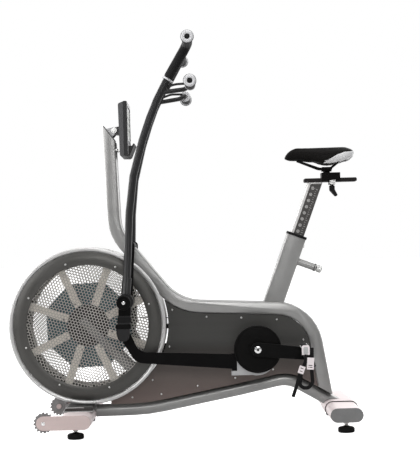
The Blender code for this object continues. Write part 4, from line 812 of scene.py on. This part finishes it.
def handle_path(sign):
    """Axis of the lever from its joint up, and across into the upper grip."""
    y = sign * LEVER_Y
    points = [(-0.2022, y, 0.48), (-0.1762, y, 0.9), (-0.0822, y, 1.16), (0.0308, y, 1.349),
              (UPPER_END[0], sign * 0.313, UPPER_END[1])]
    return rounded(points, (0.9, 0.7, 0.034), math.radians(4))


def handle_turn(sign):
    """The right handle stands 1.8 degrees further forward than the left."""
    centre = Vector((PIVOT.x, 0, PIVOT.z))
    return at_angle(centre, math.radians(-0.9 * (1 + sign))) @ Matrix.Translation(-centre)


def cut_path(path, low):
    """The part of a rising path above a height."""
    start = next(i for i, p in enumerate(path) if p.z > low)
    share = (low - path[start - 1].z) / (path[start].z - path[start - 1].z)
    return [path[start - 1].lerp(path[start], share), *path[start:]]


def foam_section(r):
    """Foam sleeve that narrows into a rolled lip at both ends."""
    def section(share):
        from_end = min(share, 1 - share)
        return circle(0, 0, r * (0.93 + 0.07 * from_end / 0.025) if from_end < 0.025 else r, 32)
    return section


def resampled(path, step):
    points = [path[0]]
    for a, b in zip(path, path[1:]):
        count = max(1, round((b - a).length / step))
        points += [a.lerp(b, i / count) for i in range(1, count + 1)]
    return points


def end_cap(at, axis, r):
    """Chrome end cap with a black plug in its middle and a dark band round its edge, which is painted shade along the
    cap's rim.
    """
    rim = [(r * 0.43, 0.0026), (r * 0.55, 0.0044), (r * 0.8, 0.004), (r * 0.95, 0.0024), (r, 0.0), (r, -0.006),
           (r * 0.9, -0.0066), (r * 0.43, -0.0066)]
    plug = [(0.0, 0.0034), (r * 0.35, 0.0032), (r * 0.43, 0.002), (r * 0.43, -0.003), (0.0, -0.003)]
    # painted shade: a thin dark band just outside the chrome rim stands for the grey shade at the cap's edge
    lip = [(r - 0.0014, 0.0021), (r + 0.0004, 0.0008), (r + 0.0008, -0.0004), (r + 0.0008, -0.0058),
           (r - 0.0014, -0.0058)]
    dark = joined([turned(plug, at, axis, 32), turned(lip, at, axis, 40, True)])
    return turned(rim, at, axis, 40, True), dark


def make_handles():
    dressed("pivot_cross_tube", "black", 0.0008)
    for side, sign in SIDES:
        body = f"handle_{side}"
        turn = handle_turn(sign)
        dressed(body, "tube", 0.0007, 40)
        dressed(f"pivot_hanger_{side}", "black", 0.0009)
        make_peg(side, sign)
        path = handle_path(sign)
        low_x, low_z = LOWER_GRIP
        lower = [Vector((low_x, sign * 0.2, low_z)), Vector((low_x, sign * 0.312, low_z))]
        for where, route, across in (("upper", cut_path(path, 1.235), (0, 1, 0)), ("lower", lower, (0, 0, 1))):
            grip = moved(swept(resampled(route, 0.004), foam_section(GRIP_R), across), turn)
            name = f"{where}_grip_{side}"
            piece(f"{name}_foam", grip, "foam", body, (name,), 60)
        bright, dark = [], []
        for x, z in (UPPER_END, LOWER_GRIP):
            rim, plug = end_cap((x, sign * 0.3125, z), (0, sign, 0), CAP_R)
            bright.append(rim)
            dark.append(plug)
        low = cut_path(path, 1.229)
        ring = [(0.0138, -0.003), (0.02, -0.003), (0.021, -0.002), (0.021, 0.0022), (0.02, 0.0032),
                (0.0138, 0.0032)]
        bright.append(turned(ring, low[0], (low[1] - low[0]).normalized(), 48, True))
        ring = [(0.0086, -0.003), (0.0185, -0.003), (0.0192, 0.0), (0.0185, 0.003), (0.0086, 0.003)]
        bright.append(turned(ring, (low_x, sign * 0.1965, low_z), (0, sign, 0), 40, True))
        piece(f"grip_chrome_{side}", moved(joined(bright), turn), "cap_rim", body, smooth=45)
        # this piece holds the black plugs and each cap's painted shade band
        piece(f"grip_plugs_and_shade_bands_{side}", moved(joined(dark), turn), "plastic", body, smooth=45)
        brace = rounded([(-0.06, sign * LEVER_Y, 1.1975), (-0.015, sign * LEVER_Y, 1.212),
                         (0.028, sign * 0.183, 1.212)], (0.05,))
        strut = moved(swept(brace, circle(0, 0, 0.0042, 14)), turn)
        piece(f"handle_brace_{side}", strut, "tube", body)
        make_lever_sleeves(side, sign, turn)


def make_lever_sleeves(side, sign, turn):
    """Cast sleeves round the lever, above and below the clamped joint."""
    body = f"handle_{side}"
    sleeves, px = [], PIVOT.x
    for top, bottom, half in ((0.444, 0.414, 0.0215), (0.386, 0.369, 0.0268)):
        x = px + (PIVOT.z - (top + bottom) / 2) * -0.1
        ring = outline([(x - half, bottom), (x + half, bottom), (x + half - 0.001, top), (x - half + 0.001, top)],
                       (0.004,) * 4)
        sleeves.append(prism(ring, sign * 0.1485, sign * 0.1862))
    piece(f"lever_sleeves_{side}", moved(joined(sleeves), turn), "arm", body, bevel=0.0016,
          segments=3)
    ring = outline([(px - 0.0295, 0.3905), (px + 0.0185, 0.3905), (px + 0.018, 0.41), (px - 0.0275, 0.41)],
                   (0.003,) * 4)
    piece(f"lever_band_{side}", moved(prism(ring, sign * 0.1492, sign * 0.185), turn), "plastic", body,
          bevel=0.001)


def make_peg(side, sign):
    """Foot peg with a ribbed sleeve, a flared end and a bolt."""
    name = f"foot_peg_{side}"
    start = sign * 0.1935
    profile = [(0.0, 0.0), (0.0155, 0.0)]
    for i in range(14):
        y = 0.003 + i * 0.004
        profile += [(0.0165, y), (0.0165, y + 0.0024), (0.0156, y + 0.0028), (0.0156, y + 0.0036)]
    profile += [(0.0165, 0.06), (0.019, 0.063), (0.0225, 0.064), (0.0243, 0.0662), (0.0245, 0.069),
                (0.0245, 0.0795), (0.0238, 0.082), (0.0222, 0.0836), (0.02, 0.084), (0.018, 0.0832),
                (0.0172, 0.0815), (0.0125, 0.0812), (0.012, 0.0815), (0.0, 0.0815)]
    peg = turned(profile, (PIVOT.x, start, PIVOT.z), (0, sign, 0), 56)
    piece(f"{name}_look", peg, "black", "root", (name,), 45)
    bolt = cap_bolt((PIVOT.x, start + sign * 0.0815, PIVOT.z), (0, sign, 0), 0.0056, 0.003, 0.42)
    piece(f"peg_bolt_{side}", bolt, "chrome", "root", bevel=0.0004)


# ---------------------------------------------------------------- seat
def seat_axis(along, across):
    """A point in the middle plane, measured along the seat tube from its top and across it to the rear."""
    s, c = math.sin(SEAT_LEAN), math.cos(SEAT_LEAN)
    return Vector((SEAT_TOP.x + along * s + across * c, 0, SEAT_TOP.z + along * c - across * s))


RAIL_UNDERSIDE = 0.8665             # the post ends and its level rail begins


def make_seat():
    post = dressed("seat_post", "post", 0.0006, 40)
    post.data.materials.append(L["rail"])
    for face in post.data.polygons:
        face.material_index = 1 if face.center.z > RAIL_UNDERSIDE else 0
    dressed("saddle_carriage", "black", 0.0012, 38, 3)
    jaws = [block((0.5268, y - 0.0004, 0.8588), (0.5468, y + 0.0004, 0.8735)) for y in (-0.03, 0.03)]
    piece("carriage_jaws", joined(jaws), "zinc", "saddle_carriage", bevel=0.0002)
    dressed("carriage_lever", "plastic", 0.0022, 38, 3)
    make_post_scale()
    make_pin()
    at = seat_axis(-0.024, 0.0355)
    bolt = cap_bolt(at, (math.cos(SEAT_LEAN), 0, -math.sin(SEAT_LEAN)), 0.005, 0.004)
    piece("seat_tube_screw", bolt, "zinc", "root", bevel=0.0003)
    make_saddle()


SCALE_STEP, SCALE_FIRST, SCALE_COUNT = 0.0233, 0.1833, 10
POST_FACE = 0.013                  # Y of the post's flat side


def dot_ring(x, z, y0, y1):
    """Ring printed round a height mark, with a dot in it."""
    ring = turned([(0.0036, y0), (0.0054, y0), (0.0054, y1), (0.0036, y1)], (x, 0, z), count=24, hollow=True)
    return joined([ring, prism(circle(x, z, 0.002, 16), y0, y1)])


def make_post_scale():
    """Dark panel on both faces of the post, with a dot and ticks beside each height."""
    turn = at_angle(SEAT_TOP, SEAT_LEAN)
    panel = outline([(-0.013, -0.038), (0.025, -0.038), (0.025, 0.2095), (-0.013, 0.1952)], (0.001,) * 4)
    strips, ticks = [], []
    for sign in (-1, 1):
        strips.append(prism(panel, sign * (POST_FACE - 0.0002), sign * (POST_FACE + 0.0003)))
        faces = sorted((sign * (POST_FACE + 0.0002), sign * (POST_FACE + 0.0006)))
        for i in range(SCALE_COUNT):
            at = SCALE_FIRST - SCALE_STEP * i
            ticks.append(dot_ring(-0.001, at, *faces))
            for dz, wide in ((0.0, 0.008), (0.0078, 0.004), (0.0155, 0.004)):
                tick = rect(0.01, at - dz - 0.0006, 0.01 + wide, at - dz + 0.0006)
                ticks.append(prism(tick, *faces))
    piece("post_scale", moved(joined(strips), turn), "scale", "seat_post")
    piece("post_ticks", moved(joined(ticks), turn), "ink", "seat_post")


PIN_DROP = -0.0826                  # the pull pin's axis, along the seat tube from its top


def make_pin():
    """Ribbed knob of the pull pin, and the collar and weld of its barrel."""
    dressed("pull_pin", "zinc", 0.0005)
    axis = Vector((math.cos(SEAT_LEAN), 0, -math.sin(SEAT_LEAN)))
    at = seat_axis(PIN_DROP, 0.0262 + 0.0795)
    shape = []
    for i, (c, s) in enumerate(circle(0, 0, 1, 48)):
        r = 0.0132 if i % 4 < 2 else 0.0121
        shape.append((r * c, r * s))
    turn = Vector((0, 1, 0)).rotation_difference(axis).to_matrix().to_4x4()
    knob = moved(prism(shape, 0.0035, 0.017), Matrix.Translation(at) @ turn)
    piece("pin_knob", knob, "zinc", "pull_pin", bevel=0.0005)
    lip = turned([(0.006, -0.0092), (0.014, -0.0092), (0.0142, -0.0085), (0.0142, -0.0072), (0.0136, -0.0066),
                  (0.006, -0.0066)], at, axis, 32, True)
    piece("pin_collar", lip, "black", "root", smooth=45)
    foot = seat_axis(PIN_DROP, 0.0358)
    bead = [foot + turn.to_3x3() @ Vector((x, 0, z)) for x, z in circle(0, 0, 0.0133)]
    piece("pin_weld", weld(bead, 0.0021), "weld", "root", smooth=60)


SADDLE = (
    # x, half width, top z, lowest z of the flanks
    (0.3640, 0.0110, 0.9615, 0.9520), (0.3675, 0.0175, 0.9695, 0.9505), (0.3745, 0.0225, 0.9785, 0.9500),
    (0.3860, 0.0260, 0.9865, 0.9495), (0.4020, 0.0285, 0.9900, 0.9490), (0.4180, 0.0310, 0.9900, 0.9490),
    (0.4350, 0.0370, 0.9895, 0.9465), (0.4550, 0.0450, 0.9890, 0.9425), (0.4750, 0.0560, 0.9885, 0.9360),
    (0.4950, 0.0690, 0.9880, 0.9300), (0.5080, 0.0770, 0.9878, 0.9265), (0.5300, 0.0885, 0.9876, 0.9255),
    (0.5530, 0.0960, 0.9876, 0.9262), (0.5730, 0.0990, 0.9874, 0.9305), (0.5880, 0.0980, 0.9870, 0.9355),
    (0.6000, 0.0910, 0.9860, 0.9425), (0.6080, 0.0840, 0.9840, 0.9455), (0.6125, 0.0740, 0.9805, 0.9500),
)
SADDLE_UNDERSIDE = 0.9465
PAN_SHARE = 0.46                    # of the cushion's width


def saddle_ring(half, top, flank, share):
    """Section: underside arched between the flanks, crowned top with a shallow channel."""
    ring = []
    channel = 0.0055 * max(0.0, math.sin(math.pi * min(1.0, max(0.0, (share - 0.18) / 0.82)))) ** 0.7
    centre = (top + flank) / 2
    for c, s in circle(0, 0, 1, 64):
        out = abs(c) ** 0.7
        y = half * math.copysign(out, c)
        if s > 0:
            z = centre + (top - centre) * s ** 0.62 - channel * math.exp(-(y / max(0.012, half * 0.16)) ** 2)
        else:
            drop = min(1.0, max(0.0, (out - 0.5) / 0.28))
            low = flank + (max(flank, SADDLE_UNDERSIDE) - flank) * (1 - drop)
            z = centre - (centre - low) * (-s) ** 0.5
        ring.append((y, z))
    return ring


def saddle_mesh(shrink):
    """Sections of SADDLE lofted from nose to rear, smaller by what the cloth swells."""
    bm = bmesh.new()
    rings = []
    x0, x1 = SADDLE[0][0], SADDLE[-1][0]
    for x, half, top, bottom in SADDLE:
        share = (x - x0) / (x1 - x0)
        ring = saddle_ring(half - shrink, top - shrink, bottom + shrink, share)
        rings.append([bm.verts.new((x, y, z)) for y, z in ring])
    return bridge(bm, rings)


def apply_modifiers(obj):
    graph = bpy.context.evaluated_depsgraph_get()
    made = bpy.data.meshes.new_from_object(obj.evaluated_get(graph))
    obj.modifiers.clear()
    obj.data = made


VOXEL, PRESSURE, TRAVEL_CAP = 0.005, 4.0, 0.006


def inflated(obj):
    """Cloth under pressure over a remeshed copy, with each point's travel capped."""
    remesh = obj.modifiers.new("remesh", "REMESH")
    remesh.mode = "VOXEL"
    remesh.voxel_size = VOXEL
    bpy.context.view_layer.update()
    apply_modifiers(obj)
    rest = np.array([v.co for v in obj.data.vertices])
    cloth = obj.modifiers.new("cloth", "CLOTH")
    cloth.settings.use_pressure = True
    cloth.settings.uniform_pressure_force = PRESSURE
    cloth.settings.effector_weights.gravity = 0.0
    cloth.settings.quality = 5
    for step in range(1, 21):
        bpy.context.scene.frame_set(step)
    graph = bpy.context.evaluated_depsgraph_get()
    swollen = np.array([v.co for v in obj.evaluated_get(graph).data.vertices])
    obj.modifiers.clear()
    bpy.context.scene.frame_set(1)
    travel = swollen - rest
    length = np.linalg.norm(travel, axis=1, keepdims=True)
    travel *= np.minimum(1.0, TRAVEL_CAP / np.maximum(length, 1e-9))
    obj.data.vertices.foreach_set("co", (rest + travel).astype(np.float32).ravel())
    obj.data.update()
    smooth = obj.modifiers.new("settle", "SMOOTH")
    smooth.iterations = 3
    smooth.factor = 0.5
    divide = obj.modifiers.new("divide", "SUBSURF")
    divide.levels = divide.render_levels = 1
    bpy.context.view_layer.update()
    apply_modifiers(obj)
    obj.data.shade_smooth()


def make_saddle():
    cushion = piece("saddle_cushion", saddle_mesh(0.003), "vinyl", "saddle_carriage", ("saddle",),
                    180)
    inflated(cushion)
    cushion.data.materials.clear()
    cushion.data.materials.append(L["vinyl"])
    tree = surface_of(cushion)
    make_saddle_panels(tree)
    make_saddle_seams(tree)
    make_saddle_pan()


def surface_of(obj):
    bm = bmesh.new()
    bm.from_mesh(obj.data)
    tree = BVHTree.FromBMesh(bm)
    bm.free()
    return tree


PANEL_TOP = ((0.49, 0.928), (0.505, 0.935), (0.527, 0.9475), (0.548, 0.959), (0.574, 0.968),
             (0.605, 0.9715))
PANEL_BOTTOM = ((0.49, 0.927), (0.505, 0.925), (0.53, 0.924), (0.556, 0.925), (0.583, 0.9335),
                (0.608, 0.945))
PANEL_LONG, PANEL_TALL = 36, 12     # faces along and down a panel


def make_saddle_panels(tree):
    """Silver side panels laid on the cushion's flanks."""
    for side, sign in SIDES:
        bm = bmesh.new()
        grid = []
        for i in range(PANEL_LONG + 1):
            column = []
            share = i / PANEL_LONG * 5
            k = min(4, int(share))
            top, bottom = (Vector(edge[k]).lerp(Vector(edge[k + 1]), share - k) for edge in (PANEL_TOP, PANEL_BOTTOM))
            for j in range(PANEL_TALL + 1):
                p = top.lerp(bottom, j / PANEL_TALL)
                hit, normal, _, _ = tree.ray_cast(Vector((p.x, sign * 0.25, p.y)), Vector((0, -sign, 0)))
                if hit is None or abs(hit.y) < 0.02:
                    near = tree.find_nearest(Vector((p.x, sign * 0.09, p.y)))
                    hit, normal = near[0], near[1]
                column.append(bm.verts.new(hit + normal * 0.0007))
            grid.append(column)
        for a, b in zip(grid, grid[1:]):
            for j in range(PANEL_TALL):
                bm.faces.new((a[j], a[j + 1], b[j + 1], b[j]))
        panel = piece(f"saddle_panel_{side}", bm, "panel", "saddle_carriage", smooth=180)
        thick = panel.modifiers.new("thick", "SOLIDIFY")
        thick.thickness = 0.0012
        thick.offset = 0.0


SEAM_START, SEAM_END = 0.376, 0.604


def make_saddle_seams(tree):
    """Piped seam round the flank of the cushion."""
    seams = []
    for sign in (-1, 1):
        points = []
        for i in range(60):
            x = SEAM_START + (SEAM_END - SEAM_START) * i / 59
            z = 0.9575 + 0.012 * (x - SEAM_START) / (SEAM_END - SEAM_START)
            hit = tree.ray_cast(Vector((x, sign * 0.25, z)), Vector((0, -sign, 0)))[0]
            if hit is not None:
                points.append(hit)
        seams.append(swept(points, circle(0, 0, 0.0009, 8), (0, 0, 1)))
    piece("saddle_seams", joined(seams), "seam", "saddle_carriage", smooth=60)


def make_saddle_pan():
    """Moulded pan under the cushion that the rails clip into."""
    bm = bmesh.new()
    rings = []
    for x, half, _, flank in SADDLE[3:-2]:
        level = max(flank, SADDLE_UNDERSIDE) + 0.0025
        rings.append([bm.verts.new((x, half * PAN_SHARE * c, level + 0.004 * s)) for c, s in circle(0, 0, 1)])
    piece("saddle_pan", bridge(bm, rings), "pan", "saddle_carriage", smooth=60)


# ---------------------------------------------------------------- console
CONSOLE_FACE = -0.1882              # X of the face that the rider sees


def make_console():
    dressed("console_lug", "cast", 0.0009)
    foot, along, normal = Vector((-0.2597, 0, 1.06)), Vector((-0.6, 0, 0.8)), Vector((0.8, 0, 0.6))
    rim = [foot + along * a + normal * n for a, n in rect(-0.0325, 0.0, 0.0315, 0.0022)]
    piece("mast_end_seal", prism([(p.x, p.z) for p in rim], -0.0385, 0.0385), "black", "root")
    dressed("console_shell", "shell", 0.0022, 38, 3)
    dressed("console_bezel", "bezel", 0.0012, 38, 3)
    low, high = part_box("console_bezel")
    z0, z1 = low.z + 0.0625, high.z - 0.0165         # lower and upper edge of the screen

    def layer(back, front, y0, y1, bottom, top):
        """A flat piece whose back and front are measured from the face, + to the rear."""
        return block((CONSOLE_FACE + back, y0, bottom), (CONSOLE_FACE + front, y1, top))

    piece("console_screen", layer(-0.0028, -0.0016, -0.0745, 0.0745, z0, z1), "screen", "console",
          bevel=0.0004)
    piece("console_lcd", layer(-0.0018, -0.0012, -0.06, 0.06, z0 + 0.012, z1 - 0.012), "lcd", "console",
          bevel=0.0002)
    bars = []
    for up in (0.03, 0.052, 0.074):
        for i in range(6):
            y = -0.05 + 0.02 * i
            for left, right, bottom, top in ((-0.0055, 0.0055, 0.0, 0.001), (-0.0055, 0.0055, 0.006, 0.007),
                                             (-0.006, -0.005, 0.0, 0.007), (0.005, 0.006, 0.0, 0.007)):
                bars.append(layer(-0.0013, -0.001, y + left, y + right, z0 + up + bottom, z0 + up + top))
    piece("console_segments", joined(bars), "screen", "console")
    plates = [layer(-0.0003, 0.0004, *edges) for edges in (
        (-0.088, 0.088, low.z + 0.008, low.z + 0.061), (-0.088, 0.088, z1 + 0.001, high.z - 0.005),
        (-0.088, -0.0762, low.z + 0.06, z1 + 0.002), (0.0762, 0.088, low.z + 0.06, z1 + 0.002))]
    piece("console_faceplate", joined(plates), "face", "console")
    quarter = Matrix.Rotation(math.radians(90), 4, "Z")
    keys = [prism(rect(y - 0.01, low.z + 0.0465, y + 0.01, low.z + 0.0565, (0.003,) * 4),
                  -(CONSOLE_FACE + 0.0018), -(CONSOLE_FACE - 0.0004)) for y in (-0.045, -0.015, 0.015, 0.045)]
    piece("console_keys", moved(joined(keys), quarter), "key", "console", bevel=0.0006)
    bolts = [hex_bolt((-0.2402, sign * 0.0312, 1.07), (0, sign, 0), 0.013, 0.0055, 0.0105) for sign in (-1, 1)]
    piece("console_bolts", joined(bolts), "zinc", "root", bevel=0.0004)
    stops = [screw((-0.2312, sign * 0.0382, 1.000), (0, sign, 0), 0.005) for sign in (-1, 1)]
    piece("mast_stop_bolts", joined(stops), "zinc", "root")


# ---------------------------------------------------------------- stage
def area(name, at, target, wide, tall, watts):
    """White softbox at a point, facing a target, that the camera does not see."""
    data = bpy.data.lights.new(name, "AREA")
    data.shape = "RECTANGLE"
    data.size = wide
    data.size_y = tall
    data.energy = watts
    obj = bpy.data.objects.new(name, data)
    obj.location = at
    obj.rotation_mode = "QUATERNION"
    obj.rotation_quaternion = (Vector(target) - Vector(at)).to_track_quat("-Z", "Y")
    bpy.context.scene.collection.objects.link(obj)
    obj.visible_camera = False


def make_stage():
    scene = bpy.context.scene
    bm = bmesh.new()
    bmesh.ops.create_grid(bm, x_segments=8, y_segments=8, size=40.0)
    mesh = bpy.data.meshes.new("floor")
    bm.to_mesh(mesh)
    bm.free()
    floor = bpy.data.objects.new("floor", mesh)
    floor.location.z = -0.0005
    scene.collection.objects.link(floor)
    pale = look("floor_white", (0.55, 0.55, 0.55), 0.7, 0.0, 0.02, 0.02, 0.01, 0.8, 0.04, specular=0.1)
    tree = pale.node_tree
    shader = tree.nodes["Principled BSDF"].inputs
    shader["Emission Color"].default_value = WHITE
    seen = tree.nodes.new("ShaderNodeLightPath").outputs["Is Camera Ray"]
    glow = node(tree, "MapRange", Value=seen, To_Min=0.06, To_Max=0.85)
    tree.links.new(glow.outputs["Result"], shader["Emission Strength"])
    floor.data.materials.append(pale)
    make_world(scene)
    for name, at, target, wide, tall, watts in (
            ("key_top", (0.2, -0.6, 3.2), (0.0, 0.0, 0.5), 3.0, 3.0, 70),
            ("side_left", (-2.6, -2.2, 1.8), (0.0, 0.0, 0.6), 1.6, 2.2, 40),
            ("side_right", (2.8, -1.6, 1.6), (0.1, 0.0, 0.5), 1.4, 2.2, 12),
            ("back_left", (-2.4, 2.2, 1.6), (0.0, 0.0, 0.7), 1.4, 2.6, 58),
            ("back_right", (2.2, 2.4, 1.6), (0.0, 0.0, 0.6), 1.6, 2.4, 34),
            ("front_panel", (0.3, -5.4, 2.4), (0.0, 0.0, 0.8), 2.0, 1.2, 62),
            ("strip_left", (-3.0, -0.4, 1.3), (0.0, 0.0, 0.9), 0.5, 2.0, 25)):
        area(name, at, target, wide, tall, watts)
    scene.view_settings.view_transform = "Standard"


def make_world(scene):
    """White studio sweep: brighter behind the machine than in front of it."""
    world = bpy.data.worlds.new("studio")
    scene.world = world
    world.use_nodes = True
    tree = world.node_tree
    tree.nodes.clear()
    around = tree.nodes.new("ShaderNodeTexCoord").outputs["Generated"]
    back = node(tree, "SeparateXYZ", v0=around).outputs["Y"]
    depth = node(tree, "MapRange", Value=back, From_Min=-0.6, From_Max=0.5, To_Min=0.16, To_Max=0.95)
    dim = node(tree, "Background", Color=WHITE, Strength=depth.outputs["Result"])
    bright = node(tree, "Background", Color=WHITE, Strength=1.0)
    seen = tree.nodes.new("ShaderNodeLightPath").outputs["Is Camera Ray"]
    mix = node(tree, "MixShader", v0=seen, v1=dim.outputs[0], v2=bright.outputs[0])
    node(tree, "OutputWorld", Surface=mix.outputs[0])


def make_camera():
    data = bpy.data.cameras.new("camera")
    data.lens = 100.0
    data.sensor_width = 36.0
    data.shift_x = 0.0056
    data.shift_y = 0.0456
    obj = bpy.data.objects.new("camera", data)
    obj.location = (0.0838, -4.5, 0.6506)
    obj.rotation_euler = (math.radians(90), math.radians(1.44), 0)
    bpy.context.scene.collection.objects.link(obj)
    bpy.context.scene.camera = obj


make_drum()
make_fan()
make_frame()
make_drive()
make_handles()
make_seat()
make_console()
make_stage()
make_camera()
